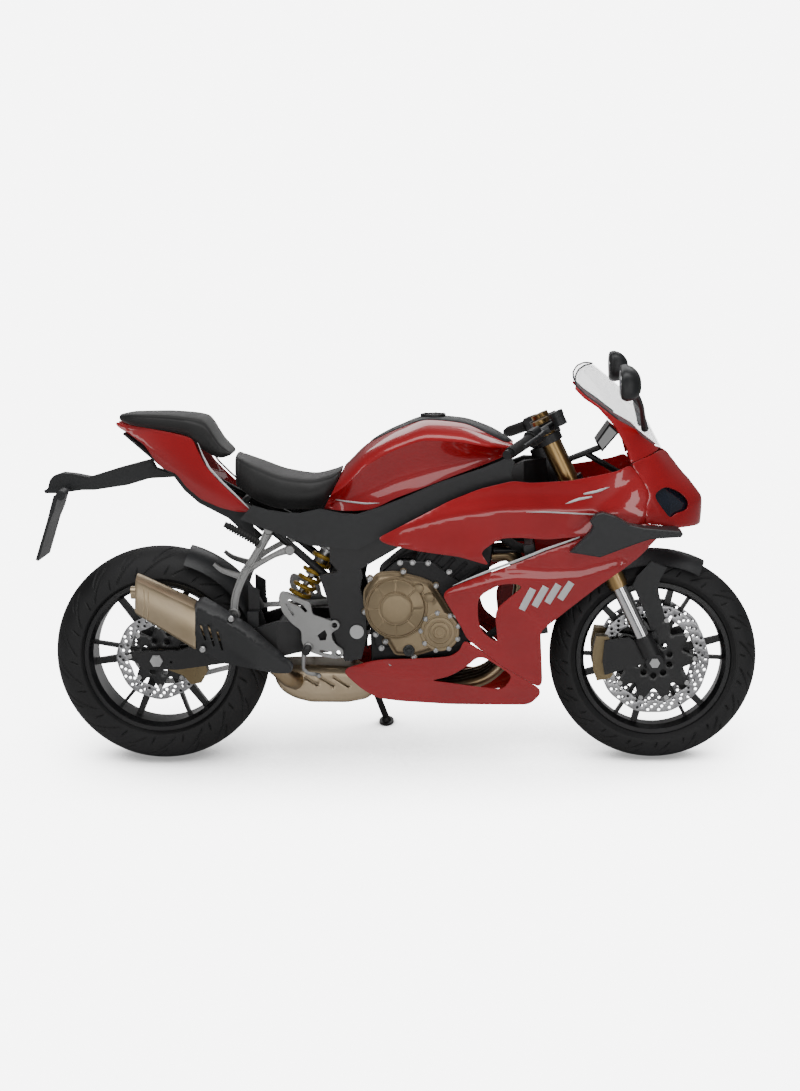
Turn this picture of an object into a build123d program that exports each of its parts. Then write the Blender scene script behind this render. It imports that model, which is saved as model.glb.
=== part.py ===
"""Sport bike with a full fairing, leaning on its side stand.

The bike is drawn upright: X points forwards from the rear axle, Y points to the rider's left and Z is
the height above the road. At the end every piece is leaned over onto the side stand and the whole is
moved so that the middle of its footprint is the origin.
"""

from build123d import *

import math
import os

os.makedirs("parts", exist_ok=True)

# Driving dimensions, millimetres and degrees.
WHEELBASE = 1432.5
LEAN = 10.0
RAKE = 25.0
YOKE_OFFSET = 32.0
FORK_SPREAD = 105.0

FRONT_TYRE_RADIUS = 299.9
FRONT_TYRE_WIDTH = 120.0
REAR_TYRE_RADIUS = 314.9
REAR_TYRE_WIDTH = 180.0
RIM_RADIUS = 215.9
FRONT_RIM_WIDTH = 89.0
REAR_RIM_WIDTH = 140.0
SPOKE_PAIRS = 6

RUNNING_GAP = 0.3
PANEL_WALL = 4.0

pieces = {}


def keep(piece, label):
    """Names a finished piece and keeps it for the parking move at the end."""
    piece.part.label = label
    pieces[label] = piece.part


def side_plane(y):
    """Side view at a distance y to the left: local x runs forwards, local y upwards."""
    return Plane(origin=(0, y, 0), x_dir=(1, 0, 0), z_dir=(0, -1, 0))


def rod(start, end, radius):
    """Adds a round bar between two points to the current part."""
    axis = Vector(*end) - Vector(*start)
    with BuildSketch(Plane(origin=start, z_dir=axis)) as section:
        Circle(radius)
    extrude(section.sketch, amount=axis.length)


def plate(outline, y_from, y_to, mode=Mode.ADD, holes=()):
    """Adds a flat piece with a side-view outline between two distances to the left."""
    with BuildSketch(side_plane(y_from)) as section:
        Polygon(*outline, align=None)
        for x, z, radius in holes:
            with Locations((x, z)):
                Circle(radius, mode=Mode.SUBTRACT)
    extrude(section.sketch, amount=y_from - y_to, mode=mode)


# Wheels: cast rims with paired spokes, tubeless tyres, discs and the final drive.
TYRE_WALL = 9.0
RIM_WALL = 6.0
RIM_WELL = 14.0
HUB_RADIUS = 38.0
FRONT_HUB_WIDTH = 84.0
REAR_HUB_WIDTH = 120.0
SPOKE_DEPTH = 26.0
THICK_SPOKE = 17.0
THIN_SPOKE = 9.0
SPOKE_LAG = 16.5
FRONT_SPOKE_START = 14.5
REAR_SPOKE_START = 8.0
FRONT_AXLE_RADIUS = 11.0
REAR_AXLE_RADIUS = 13.0
FRONT_DISC_RADIUS = 160.0
REAR_DISC_RADIUS = 127.0
FRONT_DISC_Y = 62.0
REAR_DISC_Y = -80.0
DISC_THICKNESS = 5.0

front_axle_at = (WHEELBASE, 0, FRONT_TYRE_RADIUS)
rear_axle_at = (0, 0, REAR_TYRE_RADIUS)


def wheel_plane(centre, y):
    """Side view centred on an axle, at a distance y to the left."""
    return Plane(origin=(centre[0], y, centre[2]), x_dir=(1, 0, 0), z_dir=(0, -1, 0))


def spin_sketch_plane(centre):
    """Plane for wheel sections: local x is the axle's direction, local y the distance from it."""
    return Plane(origin=centre, x_dir=(0, 1, 0), z_dir=(1, 0, 0))


def tyre(label, centre, radius, width, rim_width):
    """Revolves an open-bellied carcass section: a round crown, bulging walls and two beads."""
    half = width / 2
    bead = rim_width / 2
    shoulder = radius - half * 0.93
    seat = RIM_RADIUS + RUNNING_GAP
    lip = RIM_RADIUS + RIM_WALL + 1
    with BuildPart() as piece:
        with BuildSketch(spin_sketch_plane(centre)):
            with BuildLine():
                ThreePointArc((-half, shoulder), (0, radius), (half, shoulder))
                Polyline((half, shoulder), (bead, lip), (bead, seat), (bead - TYRE_WALL, seat))
                Polyline((bead - TYRE_WALL, seat), (bead - TYRE_WALL, lip), (half - TYRE_WALL, shoulder))
                ThreePointArc(
                    (half - TYRE_WALL, shoulder),
                    (0, radius - TYRE_WALL),
                    (TYRE_WALL - half, shoulder),
                )
                Polyline((TYRE_WALL - half, shoulder), (TYRE_WALL - bead, lip), (TYRE_WALL - bead, seat))
                Polyline((TYRE_WALL - bead, seat), (-bead, seat), (-bead, lip), (-half, shoulder))
            make_face()
        revolve(axis=Axis(centre, (0, 1, 0)))
    keep(piece, label)


def cast_wheel(label, centre, rim_width, hub_width, axle_radius, first_spoke):
    """Rim with a drop well, hub and tapered spokes in pairs."""
    half = rim_width / 2
    lip = RIM_RADIUS + RIM_WALL
    seat = RIM_RADIUS
    well = RIM_RADIUS - RIM_WELL
    under = RIM_RADIUS - RIM_WELL - RIM_WALL + 4
    with BuildPart() as piece:
        with BuildSketch(spin_sketch_plane(centre)):
            with BuildLine():
                Polyline(
                    (-half - RIM_WALL, lip),
                    (-half - RUNNING_GAP, lip),
                    (-half - RUNNING_GAP, seat),
                    (-half + 16, seat - 1),
                    (-half + 26, well),
                    (half - 26, well),
                    (half - 16, seat - 1),
                    (half + RUNNING_GAP, seat),
                    (half + RUNNING_GAP, lip),
                    (half + RIM_WALL, lip),
                    (half + RIM_WALL, seat - 6),
                    (half - 18, under),
                    (-half + 18, under),
                    (-half - RIM_WALL, seat - 6),
                    close=True,
                )
            make_face()
        revolve(axis=Axis(centre, (0, 1, 0)))
        with BuildSketch(wheel_plane(centre, 0)):
            Circle(HUB_RADIUS)
        extrude(amount=hub_width / 2, both=True)
        with BuildSketch(wheel_plane(centre, 0)):
            for pair in range(SPOKE_PAIRS):
                for lag, width in ((0, THICK_SPOKE), (SPOKE_LAG, THIN_SPOKE)):
                    angle = first_spoke + pair * 360 / SPOKE_PAIRS - lag
                    near = Vector(HUB_RADIUS - 8, 0).rotate(Axis.Z, angle + lag * 0.4)
                    far = Vector(under + 2, 0).rotate(Axis.Z, angle)
                    across = (far - near).normalized().rotate(Axis.Z, 90)
                    Polygon(
                        near + across * width * 0.75,
                        far + across * width * 0.5,
                        far - across * width * 0.5,
                        near - across * width * 0.75,
                        align=None,
                    )
        extrude(amount=SPOKE_DEPTH / 2, both=True)
        with BuildSketch(wheel_plane(centre, 0)):
            Circle(axle_radius + RUNNING_GAP)
        extrude(amount=hub_width, both=True, mode=Mode.SUBTRACT)
    keep(piece, label)


def disc(piece_plane, radius, inner, carrier_radius, bobbins, bore):
    """Adds a brake disc: a ring, a carrier and the bobbins that join them."""
    with BuildSketch(piece_plane) as ring:
        Circle(radius)
        Circle(inner, mode=Mode.SUBTRACT)
    extrude(ring.sketch, amount=DISC_THICKNESS / 2, both=True)
    with BuildSketch(piece_plane) as carrier:
        Circle(carrier_radius)
        Circle(bore, mode=Mode.SUBTRACT)
        with PolarLocations(carrier_radius * 0.68, bobbins // 2):
            Circle(carrier_radius * 0.2, mode=Mode.SUBTRACT)
    extrude(carrier.sketch, amount=DISC_THICKNESS / 2, both=True)
    with BuildSketch(piece_plane) as joints:
        with PolarLocations((inner + carrier_radius) / 2, bobbins):
            Circle((inner - carrier_radius) / 2 + 4)
    extrude(joints.sketch, amount=DISC_THICKNESS * 0.7, both=True)


tyre("front_tyre", front_axle_at, FRONT_TYRE_RADIUS, FRONT_TYRE_WIDTH, FRONT_RIM_WIDTH)
tyre("rear_tyre", rear_axle_at, REAR_TYRE_RADIUS, REAR_TYRE_WIDTH, REAR_RIM_WIDTH)
cast_wheel(
    "front_wheel", front_axle_at, FRONT_RIM_WIDTH, FRONT_HUB_WIDTH, FRONT_AXLE_RADIUS, FRONT_SPOKE_START
)
cast_wheel(
    "rear_wheel", rear_axle_at, REAR_RIM_WIDTH, REAR_HUB_WIDTH, REAR_AXLE_RADIUS, REAR_SPOKE_START
)

with BuildPart() as front_discs:
    for side in (1, -1):
        disc(wheel_plane(front_axle_at, side * FRONT_DISC_Y), FRONT_DISC_RADIUS, 124, 108, 8, 24)
        # The carrier's collar seats on the end of the hub.
        hub_end = FRONT_HUB_WIDTH / 2
        collar = FRONT_DISC_Y + DISC_THICKNESS / 2 - hub_end
        with BuildSketch(wheel_plane(front_axle_at, side * hub_end)):
            Circle(34)
            Circle(24, mode=Mode.SUBTRACT)
        extrude(amount=-side * collar)
keep(front_discs, "front_discs")

with BuildPart() as rear_disc:
    disc(wheel_plane(rear_axle_at, REAR_DISC_Y), REAR_DISC_RADIUS, 92, 78, 6, 24)
    hub_end = REAR_HUB_WIDTH / 2
    with BuildSketch(wheel_plane(rear_axle_at, -hub_end)):
        Circle(34)
        Circle(24, mode=Mode.SUBTRACT)
    extrude(amount=-REAR_DISC_Y + DISC_THICKNESS / 2 - hub_end)
keep(rear_disc, "rear_disc")

# Final drive: a sprocket on the rear hub and the chain round it and the gearbox sprocket.
CHAIN_PITCH = 15.875
CHAIN_Y = 104.0
CHAIN_WIDTH = 16.0
LINK_HEIGHT = 14.0
ROLLER_RADIUS = 5.1
REAR_TEETH = 43
GEARBOX_TEETH = 16
GEARBOX_SHAFT = (672.0, 0.0, 412.0)
SPROCKET_THICKNESS = 6.0
rear_pitch_radius = CHAIN_PITCH / 2 / math.sin(math.pi / REAR_TEETH)
gearbox_pitch_radius = CHAIN_PITCH / 2 / math.sin(math.pi / GEARBOX_TEETH)
tooth_tip_radius = rear_pitch_radius - ROLLER_RADIUS - 1.5

with BuildPart() as rear_sprocket:
    with BuildSketch(wheel_plane(rear_axle_at, CHAIN_Y)):
        with BuildLine():
            step = 360 / REAR_TEETH
            points = []
            for tooth in range(REAR_TEETH):
                for share, depth in ((-0.22, 6), (-0.12, 0), (0.12, 0), (0.22, 6)):
                    points.append(Vector(tooth_tip_radius - depth, 0).rotate(Axis.Z, (tooth + share) * step))
            Polyline(*points, close=True)
        make_face()
        Circle(rear_pitch_radius * 0.72, mode=Mode.SUBTRACT)
        Circle(rear_pitch_radius * 0.52)
        Circle(24, mode=Mode.SUBTRACT)
        with PolarLocations(rear_pitch_radius * 0.62, 5):
            Rectangle(rear_pitch_radius * 0.24, 22)
    extrude(amount=SPROCKET_THICKNESS / 2, both=True)
    # The cush-drive carrier between the hub's end and the sprocket.
    hub_end = REAR_HUB_WIDTH / 2
    with BuildSketch(wheel_plane(rear_axle_at, hub_end)):
        Circle(46)
        Circle(24, mode=Mode.SUBTRACT)
    extrude(amount=-(CHAIN_Y - SPROCKET_THICKNESS / 2 - hub_end))
keep(rear_sprocket, "rear_sprocket")


def chain_loop(grow):
    """Outline of a tight belt round both sprockets, grown outwards from the pitch line."""
    big = rear_pitch_radius + grow
    small = gearbox_pitch_radius + grow
    centres = Vector(GEARBOX_SHAFT[0], GEARBOX_SHAFT[2] - REAR_TYRE_RADIUS)
    slope = math.degrees(math.atan2(centres.Y, centres.X))
    spread = math.degrees(math.acos((big - small) / centres.length))
    with BuildLine() as loop:
        corners = []
        for centre, radius in ((Vector(0, 0), big), (centres, small)):
            upper = centre + Vector(radius, 0).rotate(Axis.Z, slope + spread)
            lower = centre + Vector(radius, 0).rotate(Axis.Z, slope - spread)
            corners.append((upper, lower))
        (big_up, big_down), (small_up, small_down) = corners
        back = Vector(-big, 0).rotate(Axis.Z, slope)
        nose = centres + Vector(small, 0).rotate(Axis.Z, slope)
        Line(big_up, small_up)
        ThreePointArc(small_up, nose, small_down)
        Line(small_down, big_down)
        ThreePointArc(big_down, back, big_up)
    return loop.edges()


with BuildPart() as chain:
    for near, far, height in (
        (CHAIN_WIDTH / 2 - 4, CHAIN_WIDTH / 2, LINK_HEIGHT / 2),
        (-CHAIN_WIDTH / 2, 4 - CHAIN_WIDTH / 2, LINK_HEIGHT / 2),
        (4 - CHAIN_WIDTH / 2, CHAIN_WIDTH / 2 - 4, ROLLER_RADIUS),
    ):
        with BuildSketch(wheel_plane(rear_axle_at, CHAIN_Y + near)):
            make_face(chain_loop(height))
            make_face(chain_loop(-height), mode=Mode.SUBTRACT)
        extrude(amount=near - far)
keep(chain, "chain")


# Front end: everything that turns with the bars, along the raked fork line.
OUTER_TUBE_RADIUS = 26.0
INNER_TUBE_RADIUS = 21.0
FOOT_TOP = 82.0
INNER_TUBE_TOP = 330.0
OUTER_TUBE_BOTTOM = 240.0
COLLAR_TOP = 285.0
COLLAR_RADIUS = 29.0
LOWER_YOKE = (520.0, 562.0)
UPPER_YOKE = (700.0, 724.0)
CLIP_ON = (732.0, 760.0)
FORK_TOP = 772.0
STEM_RADIUS = 19.7
AXLE_END = 132.0
FOOT_HALF_WIDTH = 21.0
FOOT_STEM_START = 22.0
BAR_RADIUS = 11.0
GRIP_RADIUS = 16.5
GRIP_LENGTH = 118.0
BAR_FOOT_FORWARD = 38.0
BAR_END = (1012.0, 348.0, 923.0)

rake = math.radians(RAKE)
fork_up = Vector(-math.sin(rake), 0, math.cos(rake))
fork_forward = Vector(math.cos(rake), 0, math.sin(rake))


def fork_point(along, forward=0.0, left=0.0):
    """Point at a height along the fork line above the axle, ahead of that line and to the left."""
    return Vector(*front_axle_at) + fork_up * along + fork_forward * forward + Vector(0, left, 0)


def fork_plane(along, forward=0.0, left=0.0):
    """Plane square to the fork: local x is ahead, local y is to the left."""
    return Plane(origin=fork_point(along, forward, left), x_dir=fork_forward, z_dir=fork_up)


def fork_round(bottom, top, radius, left, forward=0.0, bore=0.0):
    """Adds a round stretch along a fork leg, or a sleeve if it has a bore."""
    with BuildSketch(fork_plane(bottom, forward, left)) as section:
        Circle(radius)
        if bore:
            Circle(bore, mode=Mode.SUBTRACT)
    extrude(section.sketch, amount=top - bottom)


with BuildPart() as fork_outer_tubes:
    bore = INNER_TUBE_RADIUS + RUNNING_GAP
    for left in (FORK_SPREAD, -FORK_SPREAD):
        fork_round(OUTER_TUBE_BOTTOM, INNER_TUBE_TOP + 10, OUTER_TUBE_RADIUS, left, bore=bore)
        fork_round(INNER_TUBE_TOP + 10, FORK_TOP, OUTER_TUBE_RADIUS, left)
        fork_round(OUTER_TUBE_BOTTOM + 8, COLLAR_TOP, COLLAR_RADIUS, left, bore=bore)
keep(fork_outer_tubes, "fork_outer_tubes")

with BuildPart() as fork_inner_tubes:
    for left in (FORK_SPREAD, -FORK_SPREAD):
        fork_round(FOOT_TOP - 18, INNER_TUBE_TOP, INNER_TUBE_RADIUS, left)
keep(fork_inner_tubes, "fork_inner_tubes")

# The feet clamp the axle and carry a lug behind for the caliper.
CALIPER = [(1257, 276), (1268, 243), (1306, 250), (1314, 262), (1312, 352), (1300, 372), (1266, 374), (1256, 330)]
CALIPER_LUG = [(1290, 362), (1360, 372), (1420, 330), (1424, 300), (1290, 262), (1284, 300)]
CALIPER_INNER = 46.0
CALIPER_OUTER = 97.0
LUG_THICKNESS = 12.0

with BuildPart() as fork_feet:
    for side in (1, -1):
        left = side * FORK_SPREAD
        with BuildSketch(wheel_plane(front_axle_at, left)) as clamp:
            Circle(25)
        extrude(clamp.sketch, amount=FOOT_HALF_WIDTH, both=True)
        fork_round(FOOT_STEM_START, FOOT_TOP, INNER_TUBE_RADIUS + 6, left)
        plate(
            CALIPER_LUG,
            side * (CALIPER_OUTER + RUNNING_GAP),
            side * (CALIPER_OUTER + RUNNING_GAP + LUG_THICKNESS),
        )
        with BuildSketch(wheel_plane(front_axle_at, left)) as axle_hole:
            Circle(FRONT_AXLE_RADIUS + RUNNING_GAP)
        extrude(axle_hole.sketch, amount=FOOT_HALF_WIDTH * 2, both=True, mode=Mode.SUBTRACT)
        with BuildSketch(fork_plane(FOOT_TOP - 18 - RUNNING_GAP, left=left)) as socket:
            Circle(INNER_TUBE_RADIUS + RUNNING_GAP)
        extrude(socket.sketch, amount=30, mode=Mode.SUBTRACT)
keep(fork_feet, "fork_feet")

with BuildPart() as front_axle:
    with BuildSketch(wheel_plane(front_axle_at, 0)):
        Circle(FRONT_AXLE_RADIUS)
    extrude(amount=AXLE_END, both=True)
    # Spacers fill the room between the hub and the feet.
    for side in (1, -1):
        start = side * (FRONT_HUB_WIDTH / 2 + 1)
        with BuildSketch(wheel_plane(front_axle_at, start)):
            Circle(17)
        extrude(amount=-side * (FORK_SPREAD - FOOT_HALF_WIDTH - RUNNING_GAP - abs(start)))
        with BuildSketch(wheel_plane(front_axle_at, side * (FORK_SPREAD + FOOT_HALF_WIDTH + RUNNING_GAP))):
            RegularPolygon(15, 6)
        extrude(amount=-side * 4)
keep(front_axle, "front_axle")

with BuildPart() as front_calipers:
    for side in (1, -1):
        plate(CALIPER, side * CALIPER_INNER, side * CALIPER_OUTER)
        with BuildSketch(wheel_plane(front_axle_at, side * FRONT_DISC_Y)) as slot:
            Circle(FRONT_DISC_RADIUS + 6)
        extrude(slot.sketch, amount=DISC_THICKNESS / 2 + 3, both=True, mode=Mode.SUBTRACT)
keep(front_calipers, "front_calipers")


def yoke(bottom, top):
    """Adds a bridge between both fork legs with a boss for the stem."""
    grip = OUTER_TUBE_RADIUS + 12
    with BuildSketch(fork_plane(bottom)) as outline:
        with BuildLine():
            Polyline(
                (grip * 0.7, -FORK_SPREAD),
                (grip * 0.5, FORK_SPREAD * 0.5 - FORK_SPREAD),
                (-4, 0),
                (grip * 0.5, FORK_SPREAD * 0.5),
                (grip * 0.7, FORK_SPREAD),
                (-grip * 0.7, FORK_SPREAD),
                (-YOKE_OFFSET - 26, 26),
                (-YOKE_OFFSET - 26, -26),
                (-grip * 0.7, -FORK_SPREAD),
                close=True,
            )
        make_face()
        with Locations((0, FORK_SPREAD), (0, -FORK_SPREAD)):
            Circle(grip)
            Circle(OUTER_TUBE_RADIUS + RUNNING_GAP, mode=Mode.SUBTRACT)
    extrude(outline.sketch, amount=top - bottom)


with BuildPart() as yokes:
    yoke(*LOWER_YOKE)
    yoke(*UPPER_YOKE)
    fork_round(LOWER_YOKE[0], UPPER_YOKE[1] + 10, STEM_RADIUS, 0, forward=-YOKE_OFFSET)
keep(yokes, "yokes")

clip_on_middle = sum(CLIP_ON) / 2
bar_feet = {}
bar_ends = {}
for side in (1, -1):
    bar_feet[side] = fork_point(clip_on_middle, BAR_FOOT_FORWARD, side * (FORK_SPREAD + 4))
    bar_ends[side] = Vector(BAR_END[0], side * BAR_END[1], BAR_END[2])


def along_bar(side, from_end):
    """Point on a bar at a distance inwards from its outer end."""
    run = bar_feet[side] - bar_ends[side]
    return bar_ends[side] + run.normalized() * from_end


with BuildPart() as handlebars:
    for side in (1, -1):
        fork_round(*CLIP_ON, OUTER_TUBE_RADIUS + 10, side * FORK_SPREAD)
        with BuildSketch(fork_plane(CLIP_ON[0], 24, side * FORK_SPREAD)) as lug:
            Rectangle(44, 34)
        extrude(lug.sketch, amount=CLIP_ON[1] - CLIP_ON[0])
        rod(along_bar(side, 16), bar_feet[side], BAR_RADIUS)
        rod(along_bar(side, 0), along_bar(side, 16), BAR_RADIUS + 2)
        with BuildSketch(fork_plane(CLIP_ON[0] - 1, left=side * FORK_SPREAD)) as leg:
            Circle(OUTER_TUBE_RADIUS + RUNNING_GAP)
        extrude(leg.sketch, amount=CLIP_ON[1] - CLIP_ON[0] + 2, mode=Mode.SUBTRACT)
keep(handlebars, "handlebars")

with BuildPart() as grips:
    for side in (1, -1):
        inner, outer = along_bar(side, 18 + GRIP_LENGTH), along_bar(side, 18)
        rod(inner, outer, GRIP_RADIUS)
        rod(along_bar(side, 12 + GRIP_LENGTH), along_bar(side, 18 + GRIP_LENGTH), GRIP_RADIUS + 5)
        with BuildSketch(Plane(origin=along_bar(side, 0), z_dir=inner - outer)) as bar_hole:
            Circle(BAR_RADIUS + RUNNING_GAP)
        extrude(bar_hole.sketch, amount=GRIP_LENGTH + 40, mode=Mode.SUBTRACT)
keep(grips, "grips")

# Switch boxes inboard of the grips, with the brake and clutch levers ahead of them.
SWITCH_BOX = (34.0, 46.0, 40.0)
LEVER_AHEAD = 50.0
with BuildPart() as controls:
    for side in (1, -1):
        start = along_bar(side, 20 + GRIP_LENGTH)
        run = (bar_feet[side] - bar_ends[side]).normalized()
        with BuildSketch(Plane(origin=start, x_dir=fork_forward, z_dir=run)) as box_face:
            RectangleRounded(SWITCH_BOX[0], SWITCH_BOX[1], 9)
            Circle(BAR_RADIUS + RUNNING_GAP, mode=Mode.SUBTRACT)
        extrude(box_face.sketch, amount=SWITCH_BOX[2])
        pivot = start + run * 16 + fork_forward * 34
        tip = along_bar(side, 8) + fork_forward * LEVER_AHEAD
        knee = along_bar(side, 95) + fork_forward * (LEVER_AHEAD - 4)
        rod(start + run * 22 + fork_forward * 23, pivot + fork_forward * 12 + run * 6, 10)
        rod(pivot, knee, 7)
        rod(knee, tip, 6)

# The brake reservoir stands on a stalk from the right bar clamp.
RESERVOIR_AT = (1166.0, -158.0, 988.0)
RESERVOIR_RADIUS = 21.0
RESERVOIR_BODY = 28.0
RESERVOIR_CAP = 14.0
with BuildPart() as bar_fittings:
    add(controls.part)
    with BuildSketch(Plane(origin=RESERVOIR_AT, z_dir=fork_up)):
        Circle(RESERVOIR_RADIUS - 2)
    extrude(amount=RESERVOIR_BODY)
    with BuildSketch(Plane(origin=Vector(*RESERVOIR_AT) + fork_up * RESERVOIR_BODY, z_dir=fork_up)):
        Circle(RESERVOIR_RADIUS)
    extrude(amount=RESERVOIR_CAP)
    stalk_foot = fork_point(clip_on_middle, OUTER_TUBE_RADIUS + 22, -FORK_SPREAD - 18)
    rod(Vector(*RESERVOIR_AT) + fork_up * 4, stalk_foot, 4)
keep(bar_fittings, "controls")

# Front mudguard: an arch over the tyre with a blade down each leg.
GUARD_GAP = 13.0
GUARD_HALF_WIDTH = 70.0
GUARD_WALL = 3.0
GUARD_FRONT_ANGLE = 62.0
GUARD_SWEEP = 84.0
BLADE = [(1372, 520), (1384, 545), (1425, 588), (1470, 570), (1450, 535), (1444, 510), (1450, 481), (1464, 424)]
BLADE += [(1437, 366), (1428, 380), (1405, 440)]
BLADE_Y = 80.0
GUARD_LUG = (24.0, 24.0)
GUARD_LUG_AT = (28.0, 22.0)
with BuildPart() as front_fender:
    crown = FRONT_TYRE_RADIUS + GUARD_GAP
    start_plane = Plane(
        origin=front_axle_at,
        x_dir=(0, 1, 0),
        z_dir=Vector(1, 0, 0).rotate(Axis.Y, 90 - GUARD_FRONT_ANGLE),
    )
    with BuildSketch(start_plane):
        with BuildLine():
            ThreePointArc((-GUARD_HALF_WIDTH, crown - 38), (0, crown), (GUARD_HALF_WIDTH, crown - 38))
            Line((GUARD_HALF_WIDTH, crown - 38), (GUARD_HALF_WIDTH + GUARD_WALL, crown - 37))
            ThreePointArc(
                (GUARD_HALF_WIDTH + GUARD_WALL, crown - 37),
                (0, crown + GUARD_WALL),
                (-GUARD_HALF_WIDTH - GUARD_WALL, crown - 37),
            )
            Line((-GUARD_HALF_WIDTH - GUARD_WALL, crown - 37), (-GUARD_HALF_WIDTH, crown - 38))
        make_face()
    revolve(axis=Axis(front_axle_at, (0, -1, 0)), revolution_arc=GUARD_SWEEP)
    for side in (1, -1):
        plate(BLADE, side * (GUARD_HALF_WIDTH + 1), side * BLADE_Y)
        with BuildSketch(fork_plane(0, left=side * FORK_SPREAD)) as leg:
            Circle(COLLAR_RADIUS + RUNNING_GAP)
        extrude(leg.sketch, amount=400, mode=Mode.SUBTRACT)
        # A lug at the foot of each blade is screwed to the fork's foot.
        with BuildSketch(fork_plane(FOOT_TOP - 24, left=side * FORK_SPREAD)) as lug:
            with Locations((GUARD_LUG_AT[0], -side * GUARD_LUG_AT[1])):
                Rectangle(*GUARD_LUG)
            Circle(INNER_TUBE_RADIUS + 6 + RUNNING_GAP, mode=Mode.SUBTRACT)
        extrude(lug.sketch, amount=20)
keep(front_fender, "front_fender")


# Rear end: swingarm, axle, brake, mudguard and damper.
PIVOT = (580.0, 398.0)
PIVOT_RADIUS = 24.0
PIVOT_BOLT_RADIUS = 12.0
PIVOT_HALF_WIDTH = 104.0
# Each arm's sections from the pivot back: x, inner and outer distance from the middle, bottom, top.
ARM_SECTIONS = [
    (572.0, 70.0, 104.0, 358.0, 428.0),
    (350.0, 116.0, 145.0, 326.0, 426.0),
    (60.0, 118.0, 146.0, 288.0, 342.0),
]
ARM_END = [(62, 288), (62, 342), (-34, 342), (-52, 330), (-52, 300), (-34, 288)]
BRACE = (345.0, 402.0, 345.0, 420.0)
SPACER_RADIUS = 18.0
# Threaded holes in the arms' ends take the bobbins of a paddock stand.
BOBBIN_AT = (42.0, 310.0)
BOBBIN_RADIUS = 4.0
BOBBIN_DEPTH = 20.0
REAR_AXLE_END = 156.0

with BuildPart() as swingarm:
    for side in (1, -1):
        for x, inner, outer, bottom, top in ARM_SECTIONS:
            with BuildSketch(Plane(origin=(x, 0, 0), x_dir=(0, 1, 0), z_dir=(1, 0, 0))):
                with Locations((side * (inner + outer) / 2, (bottom + top) / 2)):
                    Rectangle(outer - inner, top - bottom)
        loft(ruled=True)
        plate(ARM_END, side * ARM_SECTIONS[-1][1], side * ARM_SECTIONS[-1][2])
    brace_front, brace_back, brace_bottom, brace_top = BRACE[1], BRACE[0], BRACE[2], BRACE[3]
    plate(
        [
            (brace_back, brace_bottom),
            (brace_back, brace_top - 10),
            (brace_back + 12, brace_top),
            (brace_front, brace_top),
            (brace_front, brace_bottom),
        ],
        ARM_SECTIONS[1][1] + 2,
        -ARM_SECTIONS[1][1] - 2,
    )
    with BuildSketch(side_plane(0)):
        with Locations(PIVOT):
            Circle(PIVOT_RADIUS)
    extrude(amount=PIVOT_HALF_WIDTH, both=True)
    with BuildSketch(side_plane(0)):
        with Locations(PIVOT):
            Circle(PIVOT_BOLT_RADIUS + RUNNING_GAP)
        with Locations((0, REAR_TYRE_RADIUS)):
            Circle(REAR_AXLE_RADIUS + RUNNING_GAP)
    extrude(amount=200, both=True, mode=Mode.SUBTRACT)
    arm_face = ARM_SECTIONS[-1][2]
    for side in (1, -1):
        with BuildSketch(side_plane(side * arm_face)):
            with Locations(BOBBIN_AT):
                Circle(BOBBIN_RADIUS)
        extrude(amount=side * BOBBIN_DEPTH, mode=Mode.SUBTRACT)
keep(swingarm, "swingarm")

with BuildPart() as rear_axle:
    with BuildSketch(wheel_plane(rear_axle_at, 0)):
        Circle(REAR_AXLE_RADIUS)
    extrude(amount=REAR_AXLE_END, both=True)
    arm_inner, arm_outer = ARM_SECTIONS[-1][1], ARM_SECTIONS[-1][2]
    for side in (1, -1):
        start = REAR_HUB_WIDTH / 2 + 1
        with BuildSketch(wheel_plane(rear_axle_at, side * start)):
            Circle(SPACER_RADIUS)
        extrude(amount=-side * (arm_inner - RUNNING_GAP - start))
        with BuildSketch(wheel_plane(rear_axle_at, side * (arm_outer + RUNNING_GAP))):
            RegularPolygon(19, 6)
        extrude(amount=-side * 8)
keep(rear_axle, "rear_axle")

REAR_CALIPER = [(72, 296), (84, 322), (128, 306), (142, 276), (122, 240), (92, 236), (70, 262)]
CALIPER_HANGER = [(-24, 322), (0, 340), (26, 336), (84, 322), (120, 300), (104, 262), (72, 262), (-16, 296)]
with BuildPart() as rear_caliper:
    plate(REAR_CALIPER, REAR_DISC_Y + 20, REAR_DISC_Y - 20)
    with BuildSketch(wheel_plane(rear_axle_at, REAR_DISC_Y)):
        Circle(REAR_DISC_RADIUS + 6)
    extrude(amount=DISC_THICKNESS / 2 + 3, both=True, mode=Mode.SUBTRACT)
    plate(
        CALIPER_HANGER,
        REAR_DISC_Y - 14,
        REAR_DISC_Y - 24,
        holes=[(0, REAR_TYRE_RADIUS, SPACER_RADIUS + RUNNING_GAP)],
    )
keep(rear_caliper, "rear_caliper")

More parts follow.
